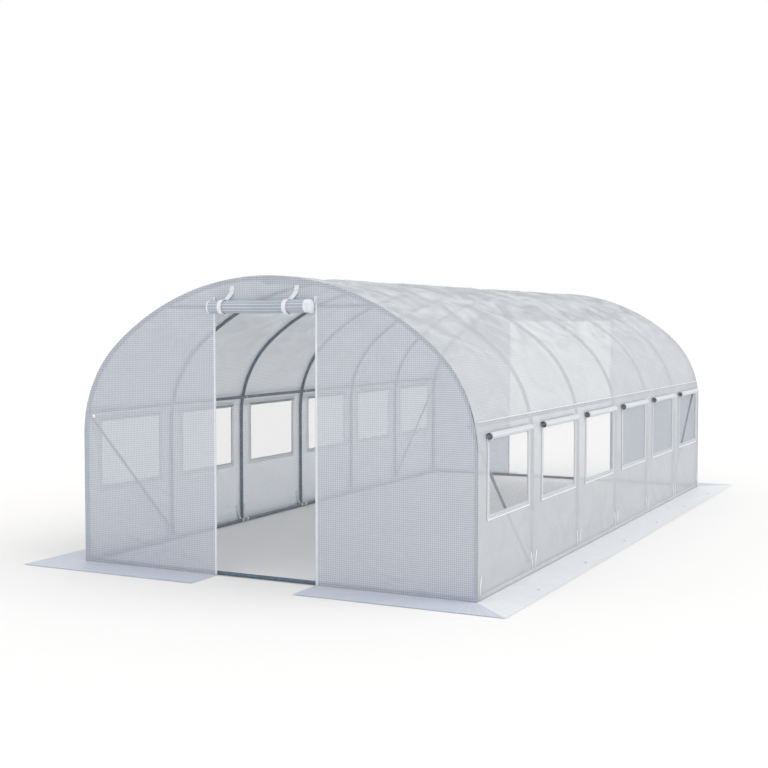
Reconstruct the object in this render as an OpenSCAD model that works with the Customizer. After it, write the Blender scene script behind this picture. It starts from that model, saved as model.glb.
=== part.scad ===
// Polytunnel greenhouse: a steel tube frame of seven hoops under a reinforced film cover.
// The origin is on the ground under the middle of the tunnel. The front end faces -Y, +Z is up.

/* [Tunnel] */
// Width over the cover
tunnel_w = 3000; // [2400:50:4000]
// Length over the cover
tunnel_l = 6000; // [3600:100:9000]
// Height over the cover at the ridge
tunnel_h = 2000; // [1850:10:2500]
// Height of the upright walls, where the arch begins
leg_h = 900; // [750:10:1050]
// Radius of the arch over each shoulder
shoulder_r = 860; // [650:10:1000]

/* [Frame] */
// Diameter of the hoop and rail tubes
tube_d = 25; // [19:1:38]
// Diameter of the diagonal braces
brace_d = 19; // [12:1:25]
// Height of the side rails
side_rail_z = 1065; // [950:5:1250]
// Height of the rails over the two doorways
head_rail_z = 1800; // [1600:5:1850]
// Height of the upper bolt of each brace
brace_top_z = 1038; // [800:1:1040]
// Height of the lower bolt of each brace
brace_foot_z = 62; // [45:1:120]
// Thickness of the flattened brace ends
tab_t = 3; // [2:0.5:5]
// Length of the flattened brace ends
tab_l = 60; // [40:5:90]

/* [Cover] */
// Thickness of the film
film_t = 2; // [1:0.5:4]
// Width of the skirt that lies on the ground
skirt_w = 300; // [150:10:500]
// Distance of the skirt's eyelets from the walls
eyelet_inset = 210; // [60:5:280]
// Diameter of the skirt's eyelets
eyelet_d = 12; // [8:1:20]

/* [Doorways] */
// Width of the front doorway
front_door_w = 760; // [600:10:1000]
// Width of the back doorway
back_door_w = 1140; // [600:10:1200]
// Height of the middle of the rolled front door
front_roll_z = 1797; // [1600:1:1830]
// Height of the middle of the rolled back door
back_roll_z = 1747; // [1600:1:1830]
// Diameter of a rolled door
door_roll_d = 90; // [60:5:130]
// How far a rolled door reaches past the doorway on its left
door_roll_over = 15; // [0:5:100]
// Width of the zip tapes beside a doorway
tape_w = 16; // [12:1:50]
// How far the zip tapes run up past the middle of the roll
tape_over = 66; // [20:1:80]
// Width of the straps that hold a rolled door
strap_w = 32; // [15:1:40]
// Distance of each strap from the middle of the doorway
strap_x = 246; // [120:1:280]
// Height of the seam that the straps hang from
strap_top_z = 1935; // [1880:1:1950]

/* [Windows] */
// Width of a window over its border
window_w = 760; // [500:10:820]
// Height of a window's lower edge
window_z = 476; // [300:1:600]
// Height of the middle of a rolled window flap
window_roll_z = 1000; // [900:1:1050]
// Width of the border round a window
border_w = 38; // [20:1:60]
// Shift of the windows from the middle of their bays
window_shift = 20; // [-40:1:40]
// Height of the side walls' upper seam above the middle of the rolled flaps
eave_over = 130; // [70:5:250]
// Diameter of a rolled window flap
window_roll_d = 45; // [30:1:70]

/* [Ties] */
// Width of a tie ribbon
tie_w = 24; // [15:1:40]
// Height at which the ties are sewn to the walls
tie_z = 140; // [80:5:250]
// Gap between a tie and the leg beside it
tie_gap = 12; // [5:1:60]

/* [Hidden] */
HOOP_COUNT = 7;
$fn = 96;
// Facets of the large arcs, fine enough to stay true to the curve
arc_fn = 360;

// Clearance between pieces that touch on the real tunnel
gap = 0.3;
// Thickness of borders, tapes, ribbons and straps
ribbon_t = 1.5;
// Half of the width, and the height of the arch above the legs
half_w = tunnel_w / 2;
half_l = tunnel_l / 2;
// The legs grow with a high tunnel, so that its arch stays lower than half of its width
wall_h = max(leg_h, tunnel_h - 0.8 * half_w);
rise = tunnel_h - wall_h;
// Middle of the shoulder arc, and radius and middle of the crown arc that runs on from it
shoulder_x = half_w - shoulder_r;
crown_r = (pow(shoulder_x, 2) + pow(rise, 2) - pow(shoulder_r, 2)) / (2 * (rise - shoulder_r));
crown_z = tunnel_h - crown_r;
// Angle at which the shoulder arc meets the crown arc
blend_angle = atan2(wall_h - crown_z, shoulder_x);
// Couplers that join the tubes of a hoop
coupler_d = tube_d + 2;
coupler_l = 40;
// Distance of the hoops' centre line from the outside of the cover
tube_in = film_t + gap + coupler_d / 2;
hoop_x = half_w - tube_in;
hoop_y = half_l - tube_in;
bay = 2 * hoop_y / (HOOP_COUNT - 1);
// Angle on the shoulder at which the side walls end and the roof begins
eave_angle = asin(max(30, window_roll_z + eave_over - wall_h) / shoulder_r);
// Distance of the lengthwise rails from the hoops' centre line
rail_step = tube_d + gap;
rail_x = hoop_x - rail_step;
// Height of the base rails, which leaves room for a ribbon under them
base_z = tube_d / 2 + ribbon_t + 2 * gap;
// Size of a window's pane inside its border
pane_w = window_w - 2 * border_w;
pane_z = window_z + border_w;
SIDES = [-1, 1];

// ---------- Shapes that several pieces share ----------

// Draws a flat shape of X and Z and gives it a length along Y
module along_y(y_from, y_to) {
    translate([0, y_to, 0])
        rotate([90, 0, 0])
            linear_extrude(y_to - y_from)
                children();
}

// Makes a bar along X from x_from to x_to
module bar_x(x_from, x_to, y, z, d) {
    translate([x_from, y, z])
        rotate([0, 90, 0])
            cylinder(h = x_to - x_from, d = d);
}

// Makes a bar along Y from y_from to y_to
module bar_y(y_from, y_to, x, z, d) {
    translate([x, y_to, z])
        rotate([90, 0, 0])
            cylinder(h = y_to - y_from, d = d);
}

// Makes a wedge from the origin, between two angles and past a radius
module wedge(from, to, r) {
    middle = (from + to) / 2;
    far = 2 * r;
    polygon([
        [0, 0],
        [far * cos(from), far * sin(from)],
        [far * cos(middle), far * sin(middle)],
        [far * cos(to), far * sin(to)]
    ]);
}

// Makes a sector of a disc
module sector(r, from, to) {
    intersection() {
        circle(r, $fn = arc_fn);
        wedge(from, to, r);
    }
}

// Makes a sector of a ring whose outer radius is r
module ring_sector(r, t, from, to) {
    difference() {
        sector(r, from, to);
        circle(r - t, $fn = arc_fn);
    }
}

// Makes the outline of the tunnel's end, drawn in by a distance
module end_outline(inset) {
    x = half_w - inset;
    r = shoulder_r - inset;
    join_x = shoulder_x + r * cos(blend_angle);
    join_z = wall_h + r * sin(blend_angle);
    polygon([[-x, 0], [x, 0], [x, wall_h], [join_x, join_z], [-join_x, join_z], [-x, wall_h]]);
    for (side = SIDES)
        scale([side, 1])
            translate([shoulder_x, wall_h])
                sector(r, 0, blend_angle);
    translate([0, crown_z])
        sector(crown_r - inset, blend_angle, 180 - blend_angle);
}

// Makes the section of one side wall, with an inset from the cover's outside
module wall_section(inset, t) {
    translate([half_w - inset - t, 0])
        square([t, wall_h]);
    translate([shoulder_x, wall_h])
        ring_sector(shoulder_r - inset, t, 0, eave_angle);
}

// Mirrors a piece that is drawn on the right to the left
module on_side(side) {
    if (side > 0)
        children();
    else
        mirror([1, 0, 0])
            children();
}

// Places a piece that is drawn for one window at all the windows of a side
module at_windows() {
    for (i = [0:HOOP_COUNT - 2])
        translate([0, -hoop_y + (i + 0.5) * bay + window_shift, 0])
            children();
}

// Makes a block of a window's width and height, through the wall
module window_block(w, z_from, z_to) {
    depth = 200;
    translate([half_w - depth / 2, -w / 2, z_from])
        cube([depth, w, z_to - z_from]);
}

// ---------- Frame ----------

// An arc of hoop tube, bent round a middle between two angles
module bent_tube(x, z, r, from, to) {
    translate([x, 0, z])
        rotate([90, 0, 0])
            rotate([0, 0, from])
                rotate_extrude(angle = to - from, $fn = arc_fn)
                    translate([r, 0])
                        circle(d = tube_d);
}

// The coupler that joins two tubes of a hoop, at an angle on an arc
module coupler(x, z, r, angle) {
    translate([x + r * cos(angle), 0, z + r * sin(angle)])
        rotate([0, -angle, 0])
            cylinder(h = coupler_l, d = coupler_d, center = true);
}

module hoop(i) {
    bend_r = shoulder_r - tube_in;
    color("silver")
        translate([0, -hoop_y + i * bay, 0]) {
            for (side = SIDES)
                translate([side * hoop_x, 0, 0])
                    cylinder(h = wall_h, d = tube_d);
            bent_tube(shoulder_x, wall_h, bend_r, 0, blend_angle);
            bent_tube(-shoulder_x, wall_h, bend_r, 180 - blend_angle, 180);
            bent_tube(0, crown_z, crown_r - tube_in, blend_angle, 180 - blend_angle);
            for (angle = [0, blend_angle])
                coupler(shoulder_x, wall_h, bend_r, angle);
            for (angle = [180 - blend_angle, 180])
                coupler(-shoulder_x, wall_h, bend_r, angle);
        }
}

module ridge_rail() {
    color("silver")
        bar_y(-half_l + film_t + gap, half_l - film_t - gap, 0, tunnel_h - tube_in - rail_step, tube_d);
}

module side_rail(side) {
    drop = shoulder_r - tube_in - rail_step;
    x = shoulder_x + sqrt(pow(drop, 2) - pow(max(0, side_rail_z - wall_h), 2));
    color("silver")
        bar_y(-half_l + film_t + gap, half_l - film_t - gap, side * x, side_rail_z, tube_d);
}

module base_rail_side(side) {
    color("silver")
        bar_y(-half_l + film_t + gap, half_l - film_t - gap, side * rail_x, base_z, tube_d);
}

module base_rail_end(end) {
    x = rail_x - tube_d / 2 - gap;
    color("silver")
        bar_x(-x, x, end * hoop_y, base_z, tube_d);
}

module head_rail(end) {
    x = sqrt(pow(crown_r - tube_in, 2) - pow(head_rail_z - crown_z, 2));
    color("silver")
        bar_x(-x, x, end * (hoop_y - rail_step), head_rail_z, tube_d);
}

// One brace, drawn in the front bay on the right: a tube with a flattened end at each bolt
module brace() {
    tab_x = hoop_x - tube_d / 2 - gap - tab_t / 2;
    bend_r = shoulder_r - tube_in;
    above = max(0, brace_top_z + brace_d / 2 - wall_h);
    top_in = bend_r - sqrt(pow(bend_r, 2) - pow(above, 2));
    run = bay;
    fall = brace_top_z - brace_foot_z;
    tilt = atan2(run, fall);
    long = sqrt(pow(run, 2) + pow(fall, 2));
    translate([tab_x - top_in, -hoop_y, brace_top_z])
        rotate([180 + tilt, -asin(top_in / fall), 0]) {
            translate([0, 0, tab_l / 2])
                cylinder(h = long - tab_l, d = brace_d);
            for (z = [0, long])
                rotate([0, 90, 0])
                    translate([-z, 0, -tab_t / 2])
                        cylinder(h = tab_t, d = brace_d);
            for (z = [0, long - tab_l])
                translate([-tab_t / 2, -brace_d / 2, z])
                    cube([tab_t, brace_d, tab_l]);
        }
}

module braces(side) {
    color("silver")
        on_side(side) {
            brace();
            mirror([0, 1, 0])
                brace();
        }
}

// ---------- Cover ----------

module side_wall(side) {
    color("whitesmoke")
        on_side(side)
            difference() {
                along_y(-half_l + film_t, half_l - film_t)
                    wall_section(0, film_t);
                at_windows()
                    window_block(pane_w, pane_z, window_roll_z);
            }
}

module roof_side(side) {
    color("whitesmoke")
        on_side(side)
            along_y(-half_l + film_t, half_l - film_t)
                translate([shoulder_x, wall_h])
                    ring_sector(shoulder_r, film_t, eave_angle, blend_angle);
}

module roof_crown() {
    color("whitesmoke")
        along_y(-half_l + film_t, half_l - film_t)
            translate([0, crown_z])
                ring_sector(crown_r, film_t, blend_angle, 180 - blend_angle);
}

// An end wall from the ground up, cut to the part from x_from to x_to and above z_from
module end_wall(end, x_from, x_to, z_from) {
    inner = half_l - film_t;
    y_from = end < 0 ? -half_l : inner;
    color("whitesmoke")
        along_y(y_from, y_from + film_t)
            intersection() {
                end_outline(0);
                translate([x_from, z_from])
                    square([x_to - x_from, tunnel_h]);
            }
}

module skirt_side(side) {
    color("whitesmoke")
        on_side(side)
            difference() {
                linear_extrude(film_t)
                    polygon([
                        [half_w, -half_l],
                        [half_w + skirt_w, -half_l - skirt_w],
                        [half_w + skirt_w, half_l + skirt_w],
                        [half_w, half_l]
                    ]);
                for (i = [0:HOOP_COUNT - 2])
                    translate([half_w + eyelet_inset, -hoop_y + (i + 0.5) * bay, -film_t])
                        cylinder(h = 3 * film_t, d = eyelet_d);
            }
}

module skirt_end(end, door_w) {
    color("whitesmoke")
        for (side = SIDES)
            linear_extrude(film_t)
                polygon([
                    [side * door_w / 2, end * half_l],
                    [side * door_w / 2, end * (half_l + skirt_w)],
                    [side * (half_w + skirt_w), end * (half_l + skirt_w)],
                    [side * half_w, end * half_l]
                ]);
}

// ---------- Windows ----------

module window_borders(side) {
    color("white")
        on_side(side)
            intersection() {
                along_y(-half_l + film_t, half_l - film_t)
                    wall_section(-ribbon_t - gap, ribbon_t);
                at_windows()
                    difference() {
                        window_block(window_w, window_z, window_roll_z + border_w);
                        window_block(pane_w, pane_z, window_roll_z);
                    }
            }
}

module window_screens(side) {
    screen_t = film_t / 2;
    color("lightgray")
        on_side(side)
            intersection() {
                along_y(-half_l + film_t, half_l - film_t)
                    wall_section(screen_t / 2, screen_t);
                at_windows()
                    window_block(pane_w, pane_z, window_roll_z);
            }
}

module window_rolls(side) {
    lift = shoulder_r + ribbon_t + 2 * gap + window_roll_d / 2;
    x = shoulder_x + sqrt(pow(lift, 2) - pow(max(0, window_roll_z - wall_h), 2));
    color("white")
        on_side(side)
            at_windows()
                bar_y(-window_w / 2, window_w / 2, x, window_roll_z, window_roll_d);
}

// ---------- Doors ----------

// Distance of a rolled door's middle from the end wall
function roll_out(d) = ribbon_t + gap + d / 2;

module door_roll(end, door_w, z) {
    x_far = end < 0 ? -door_w / 2 - door_roll_over : -door_w / 2;
    x_near = end < 0 ? door_w / 2 : door_w / 2 + door_roll_over;
    color("gainsboro")
        bar_x(x_far, x_near, end * (half_l + ribbon_t + gap + roll_out(door_roll_d)), z, door_roll_d);
}

module door_straps(end, z) {
    out = ribbon_t + gap + roll_out(door_roll_d);
    loop_r = door_roll_d / 2 + gap;
    color("white")
        for (x = [-strap_x, strap_x])
            translate([x - strap_w / 2, end * half_l, 0])
                rotate([90, 0, 90])
                    linear_extrude(strap_w)
                        scale([end, 1]) {
                            translate([out, z])
                                difference() {
                                    circle(loop_r + ribbon_t);
                                    circle(loop_r);
                                }
                            translate([0, z])
                                square([ribbon_t, strap_top_z - z]);
                            translate([0, z - ribbon_t / 2])
                                square([out - loop_r, ribbon_t]);
                        }
}

module door_tapes(end, door_w, z) {
    color("white")
        for (side = SIDES)
            translate([side * (door_w + tape_w) / 2 - tape_w / 2, end * (half_l + ribbon_t / 2) - ribbon_t / 2, film_t])
                cube([tape_w, ribbon_t, z + tape_over - film_t]);
}

// ---------- Ties ----------

// One ribbon: a loop round the base rail and a band up to the wall
module base_tie() {
    loop_r = tube_d / 2 + gap;
    lean = atan2(half_w - film_t - ribbon_t - rail_x, tie_z - base_z);
    wall_x = half_w - film_t - ribbon_t;
    difference() {
        union() {
            translate([rail_x, base_z])
                circle(loop_r + ribbon_t);
            polygon([
                [rail_x + loop_r * cos(lean), base_z],
                [rail_x + (loop_r + ribbon_t) * cos(lean), base_z],
                [wall_x + ribbon_t, tie_z],
                [wall_x, tie_z]
            ]);
        }
        translate([rail_x, base_z])
            circle(loop_r);
    }
}

module base_ties(side) {
    color("white")
        on_side(side)
            for (i = [0:HOOP_COUNT - 1], step = SIDES) {
                y = -hoop_y + i * bay + step * (tube_d / 2 + tie_gap + tie_w / 2);
                if (abs(y) < hoop_y)
                    along_y(y - tie_w / 2, y + tie_w / 2)
                        base_tie();
            }
}

// ---------- The whole tunnel ----------

for (i = [1:HOOP_COUNT])
    hoop(i - 1);
ridge_rail();
side_rail(-1);  // side_rail_left
side_rail(1);  // side_rail_right
base_rail_side(-1);  // base_rail_left
base_rail_side(1);  // base_rail_right
base_rail_end(-1);  // base_rail_front
base_rail_end(1);  // base_rail_back
head_rail(-1);  // head_rail_front
head_rail(1);  // head_rail_back
braces(-1);  // braces_left
braces(1);  // braces_right
side_wall(-1);  // side_wall_left
side_wall(1);  // side_wall_right
roof_side(-1);  // roof_left
roof_crown();
roof_side(1);  // roof_right
end_wall(-1, -half_w, -front_door_w / 2, 0);  // front_wall_left
end_wall(-1, front_door_w / 2, half_w, 0);  // front_wall_right
end_wall(-1, -front_door_w / 2, front_door_w / 2, front_roll_z);  // front_wall_top
end_wall(1, -half_w, -back_door_w / 2, 0);  // back_wall_left
end_wall(1, back_door_w / 2, half_w, 0);  // back_wall_right
end_wall(1, -back_door_w / 2, back_door_w / 2, back_roll_z);  // back_wall_top
window_borders(-1);  // window_borders_left
window_borders(1);  // window_borders_right
window_screens(-1);  // window_screens_left
window_screens(1);  // window_screens_right
window_rolls(-1);  // window_rolls_left
window_rolls(1);  // window_rolls_right
door_roll(-1, front_door_w, front_roll_z);  // front_door_roll
door_roll(1, back_door_w, back_roll_z);  // back_door_roll
door_straps(-1, front_roll_z);  // front_door_straps
door_straps(1, back_roll_z);  // back_door_straps
door_tapes(-1, front_door_w, front_roll_z);  // front_door_tapes
door_tapes(1, back_door_w, back_roll_z);  // back_door_tapes
skirt_side(-1);  // skirt_left
skirt_side(1);  // skirt_right
skirt_end(-1, front_door_w);  // skirt_front
skirt_end(1, back_door_w);  // skirt_back
base_ties(-1);  // base_ties_left
base_ties(1);  // base_ties_right
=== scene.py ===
"""Dresses the polytunnel greenhouse: its film cover, windows, rolled doors, ties and steelwork."""

import logging
import math
from dataclasses import dataclass
from enum import Enum
from typing import Callable, Sequence

import bpy
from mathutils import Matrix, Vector, noise


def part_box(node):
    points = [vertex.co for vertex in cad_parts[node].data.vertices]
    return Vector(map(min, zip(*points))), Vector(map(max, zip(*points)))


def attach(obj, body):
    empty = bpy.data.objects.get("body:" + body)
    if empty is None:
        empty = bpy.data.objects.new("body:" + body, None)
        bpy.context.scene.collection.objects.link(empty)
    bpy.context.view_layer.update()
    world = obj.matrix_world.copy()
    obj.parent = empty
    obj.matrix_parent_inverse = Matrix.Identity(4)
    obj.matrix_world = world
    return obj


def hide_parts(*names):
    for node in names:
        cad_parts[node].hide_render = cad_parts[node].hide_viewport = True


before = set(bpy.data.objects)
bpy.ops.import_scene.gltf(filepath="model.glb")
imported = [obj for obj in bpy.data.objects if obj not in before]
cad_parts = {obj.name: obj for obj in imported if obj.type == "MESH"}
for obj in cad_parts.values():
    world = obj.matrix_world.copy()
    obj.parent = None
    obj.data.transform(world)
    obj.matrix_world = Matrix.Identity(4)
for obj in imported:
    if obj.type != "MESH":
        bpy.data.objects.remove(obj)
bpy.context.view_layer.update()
LOG = logging.getLogger("polytunnel")
ROOT = "root"
MAP_NAME = "metres"
ACROSS, ALONG, UP = (Vector(axis) for axis in ((1, 0, 0), (0, 1, 0), (0, 0, 1)))
Point = tuple[float, float, float]
Pair = tuple[float, float]
Inputs = dict[str, tuple[str, object]]
Socket = bpy.types.NodeSocket


class Slot(Enum):
    """A material slot of the part's record."""

    FILM = "cover_film"
    ROLLED = "rolled_film"
    NET = "window_net"
    RIBBON = "white_ribbon"
    STEEL = "steel_tube"


class Side(Enum):
    """A long side of the tunnel, by the sign of its X."""

    LEFT = -1
    RIGHT = 1

    @property
    def word(self) -> str:
        """The side's name as the frame's nodes spell it."""
        return self.name.lower()


class End(Enum):
    """An end of the tunnel, by the sign of its Y."""

    FRONT = -1
    BACK = 1

    @property
    def word(self) -> str:
        """The end's name as the frame's nodes spell it."""
        return self.name.lower()


# ---------- Node trees ----------


@dataclass(frozen=True)
class Tree:
    """A short way to write a node tree.

    Attributes:
        tree: the shader or geometry node tree that the nodes go into.
    """

    tree: bpy.types.NodeTree

    def node(self, kind: str, inputs: dict | None = None, **settings: object) -> bpy.types.Node:
        """Adds a node.

        Args:
            kind: the node's type name.
            inputs: a value or an output socket for each input, by name or number.
            **settings: the node's own properties.

        Returns:
            The new node.
        """
        made = self.tree.nodes.new(kind)
        for name, value in settings.items():
            setattr(made, name, value)
        self.fill(made, inputs or {})
        return made

    def fill(self, node: bpy.types.Node, inputs: dict) -> None:
        """Gives a node's inputs their values.

        Args:
            node: the node.
            inputs: a value or an output socket for each input, by name or number.
        """
        for name, value in inputs.items():
            if isinstance(value, Socket):
                self.link(value, node.inputs[name])
            else:
                node.inputs[name].default_value = value

    def link(self, output: Socket, socket: Socket) -> None:
        """Links an output to an input."""
        self.tree.links.new(output, socket)

    def math(self, operation: str, *values: object) -> Socket:
        """Adds a Math node.

        Args:
            operation: the node's operation, such as "MULTIPLY".
            *values: numbers or sockets for its inputs.

        Returns:
            The node's output.
        """
        return self.node("ShaderNodeMath", dict(enumerate(values)), operation=operation).outputs[0]

    def clamp(self, value: object) -> Socket:
        """Keeps a number between 0 and 1.

        Args:
            value: the number or its socket.

        Returns:
            The kept number.
        """
        return self.math("MINIMUM", self.math("MAXIMUM", value, 0.0), 1.0)

    def blend(self, mask: object, low: object, high: object) -> Socket:
        """Mixes two numbers by a mask.

        Args:
            mask: 0 gives low, and 1 gives high.
            low: the first number.
            high: the second number.

        Returns:
            The mixed number.
        """
        return self.node("ShaderNodeMix", {0: mask, 2: low, 3: high}, data_type="FLOAT").outputs[0]

    def tint(self, mask: object, low: Point, high: Point) -> Socket:
        """Mixes two colours by a mask.

        Args:
            mask: 0 gives low, and 1 gives high.
            low: the first colour.
            high: the second colour.

        Returns:
            The mixed colour.
        """
        colours = {0: mask, 6: (*low, 1.0), 7: (*high, 1.0)}
        return self.node("ShaderNodeMix", colours, data_type="RGBA").outputs[2]


def add_sockets(tree: bpy.types.NodeTree, inputs: Inputs) -> None:
    """Adds named inputs to a node tree.

    Args:
        tree: the shader or geometry node tree.
        inputs: for each input its socket type and its default.
    """
    for title, (kind, default) in inputs.items():
        socket = tree.interface.new_socket(title, in_out="INPUT", socket_type=kind)
        if default is not None:
            socket.default_value = default


def new_group(name: str, inputs: Inputs, outputs: dict[str, str]) -> tuple[Tree, dict, dict]:
    """Makes an empty shader node group with named sockets.

    Args:
        name: the group's name.
        inputs: for each input its socket type and its default.
        outputs: for each output its socket type.

    Returns:
        The tree, the group input's sockets and the group output's sockets.
    """
    tree = bpy.data.node_groups.new(name, "ShaderNodeTree")
    add_sockets(tree, inputs)
    for title, kind in outputs.items():
        tree.interface.new_socket(title, in_out="OUTPUT", socket_type=kind)
    into, out = tree.nodes.new("NodeGroupInput"), tree.nodes.new("NodeGroupOutput")
    return Tree(tree), {k: into.outputs[k] for k in inputs}, {k: out.inputs[k] for k in outputs}


def woven_grid_group() -> bpy.types.NodeTree:
    """Makes the group that draws a grid of threads from a map in metres.

    Returns:
        A group with outputs Mask, 1 on a thread, and Height, for a bump.
    """
    tree, given, result = new_group(
        "woven_grid",
        {
            "Map": ("NodeSocketVector", None),
            "Pitch": ("NodeSocketFloat", 0.0125),
            "Thread": ("NodeSocketFloat", 0.3),
        },
        {"Mask": "NodeSocketFloat", "Height": "NodeSocketFloat"},
    )
    parts = tree.node("ShaderNodeSeparateXYZ", {0: given["Map"]})
    edge = tree.math("SUBTRACT", 1.0, given["Thread"])
    lines = []
    for axis in (0, 1):
        cell = tree.math("FRACT", tree.math("DIVIDE", parts.outputs[axis], given["Pitch"]))
        ridge = tree.math("ABSOLUTE", tree.math("SUBTRACT", tree.math("MULTIPLY", cell, 2.0), 1.0))
        slope = tree.math("MULTIPLY", given["Thread"], 0.5)
        lines.append(tree.clamp(tree.math("DIVIDE", tree.math("SUBTRACT", ridge, edge), slope)))
    tree.link(tree.math("MAXIMUM", *lines), result["Mask"])
    tree.link(tree.math("ADD", *lines), result["Height"])
    return tree.tree


def mottle_group() -> bpy.types.NodeTree:
    """Makes the group that gives soft cloudy patches, used as painted shade and highlight on slack film, as
    dirt on tape and as a random tone on metal.

    Returns:
        A group with output Value, about 0.5 on average.
    """
    tree, given, result = new_group(
        "soft_mottle",
        {
            "Vector": ("NodeSocketVector", None),
            "Scale": ("NodeSocketFloat", 2.0),
            "Fold": ("NodeSocketFloat", 1.6),
            "Contrast": ("NodeSocketFloat", 2.0),
        },
        {"Value": "NodeSocketFloat"},
    )
    wide = {"Vector": given["Vector"], "Scale": given["Scale"], "Detail": 0.5}
    bent = tree.node("ShaderNodeTexNoise", wide).outputs["Color"]
    tight = tree.math("MULTIPLY", given["Scale"], given["Fold"])
    fine = tree.node("ShaderNodeTexNoise", {"Vector": bent, "Scale": tight, "Detail": 1.2})
    centred = tree.math("SUBTRACT", fine.outputs[0], 0.5)
    tree.link(tree.clamp(tree.math("MULTIPLY_ADD", centred, given["Contrast"], 0.5)), result["Value"])
    return tree.tree


class Groups:
    """The shader groups, each made once.

    Attributes:
        grid: the grid of threads.
        mottle: the soft patches.
    """

    def __init__(self) -> None:
        """Makes the groups."""
        self.grid = woven_grid_group()
        self.mottle = mottle_group()

    def place(self, tree: Tree, group: bpy.types.NodeTree, inputs: dict) -> bpy.types.Node:
        """Adds one of the groups to a material's tree.

        Args:
            tree: the material's tree.
            group: the group to add.
            inputs: values or sockets for the group's inputs.

        Returns:
            The group node.
        """
        made = tree.tree.nodes.new("ShaderNodeGroup")
        made.node_tree = group
        tree.fill(made, inputs)
        return made


def blank_material(name: str) -> tuple[bpy.types.Material, Tree, bpy.types.Node]:
    """Makes a material that holds only a Principled shader.

    Args:
        name: the material's name.

    Returns:
        The material, its tree and the shader.
    """
    material = bpy.data.materials.new(name)
    material.use_nodes = True
    tree = Tree(material.node_tree)
    shader = next(n for n in material.node_tree.nodes if n.type == "BSDF_PRINCIPLED")
    return material, tree, shader


def scaled(colour: Point, factor: float) -> Point:
    """Gives a colour that is darker or lighter by a factor."""
    return tuple(factor * value for value in colour)


# ---------- Finishes ----------


@dataclass(frozen=True)
class FilmFinish:
    """Translucent film with a grid of white threads in it.

    Attributes:
        name: the material's name.
        film: colour of the film between the threads.
        thread: colour of the threads.
        film_alpha: how much of the view the film covers.
        thread_alpha: how much of the view a thread covers.
        inside: how much brighter the side is that light comes through, as a factor.
        fold_shading: painted shade and highlight: how far the patches change the colour of slack film, for
            the shading of its wrinkles.
        pitch: distance between threads, in metres.
        thread_share: a thread's width as a share of the pitch.
        roughness: the film's roughness.
        squeeze: how much the patches are narrowed along each axis.
        taut_to: height up to which the film is taut, in metres.
        slack_from: height from which it is slack.
        taut_share: strength of the patches on taut film, as a share of that on slack film.
    """

    name: str
    film: Point
    thread: Point
    film_alpha: float
    thread_alpha: float
    inside: float = 1.0
    fold_shading: float = 0.0
    pitch: float = 0.0133
    thread_share: float = 0.33
    roughness: float = 0.42
    squeeze: Point = (1.2, 0.95, 1.45)
    taut_to: float = 1.4
    slack_from: float = 1.8
    taut_share: float = 0.18

    def build(self, groups: Groups) -> bpy.types.Material:
        """Builds the material.

        Args:
            groups: the shared shader groups.

        Returns:
            The material, which reads the piece's UV map in metres.
        """
        material, tree, shader = blank_material(self.name)
        metres = tree.node("ShaderNodeUVMap", uv_map=MAP_NAME).outputs[0]
        weave = {"Map": metres, "Pitch": self.pitch, "Thread": self.thread_share}
        grid = groups.place(tree, groups.grid, weave)
        mask = grid.outputs["Mask"]
        place = tree.node("ShaderNodeTexCoord").outputs["Object"]
        narrow = tree.node("ShaderNodeMapping", {"Vector": place, "Scale": self.squeeze}).outputs[0]
        folds = {"Vector": narrow, "Scale": 1.9, "Fold": 3.3, "Contrast": 3.2}
        patches = groups.place(tree, groups.mottle, folds).outputs[0]
        centred = tree.math("SUBTRACT", patches, 0.5)
        high = tree.node("ShaderNodeSeparateXYZ", {0: place}).outputs[2]
        span = {"From Min": self.taut_to, "From Max": self.slack_from, "To Min": self.taut_share}
        slack = tree.node("ShaderNodeMapRange", {"Value": high, **span}).outputs[0]
        # painted shade and highlight: the patches darken and lighten the colour of the slack roof for the
        # shading of its wrinkles, and the back face is painted brighter for the light that comes through the
        # film
        swing = tree.math("MULTIPLY", slack, self.fold_shading)
        lit = tree.node("ShaderNodeNewGeometry").outputs["Backfacing"]
        shade = tree.math("MULTIPLY_ADD", centred, swing, tree.blend(lit, 1.0, self.inside))
        woven = tree.tint(mask, self.film, self.thread)
        colour = tree.node("ShaderNodeHueSaturation", {"Value": shade, "Color": woven}).outputs[0]
        height = tree.math("ADD", grid.outputs["Height"], tree.math("MULTIPLY", patches, 20.0))
        relief = {"Strength": 0.35, "Distance": 0.0006, "Height": height}
        surface = {
            "Base Color": colour,
            "Roughness": tree.blend(mask, self.roughness, self.roughness + 0.2),
            "Normal": tree.node("ShaderNodeBump", relief).outputs[0],
            "Specular IOR Level": 0.35,
        }
        if self.film_alpha < 1.0:
            thin = tree.math("MULTIPLY_ADD", centred, tree.math("MULTIPLY", swing, -0.5), self.film_alpha)
            surface["Alpha"] = tree.blend(mask, thin, self.thread_alpha)
        tree.fill(shader, surface)
        return material


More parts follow.
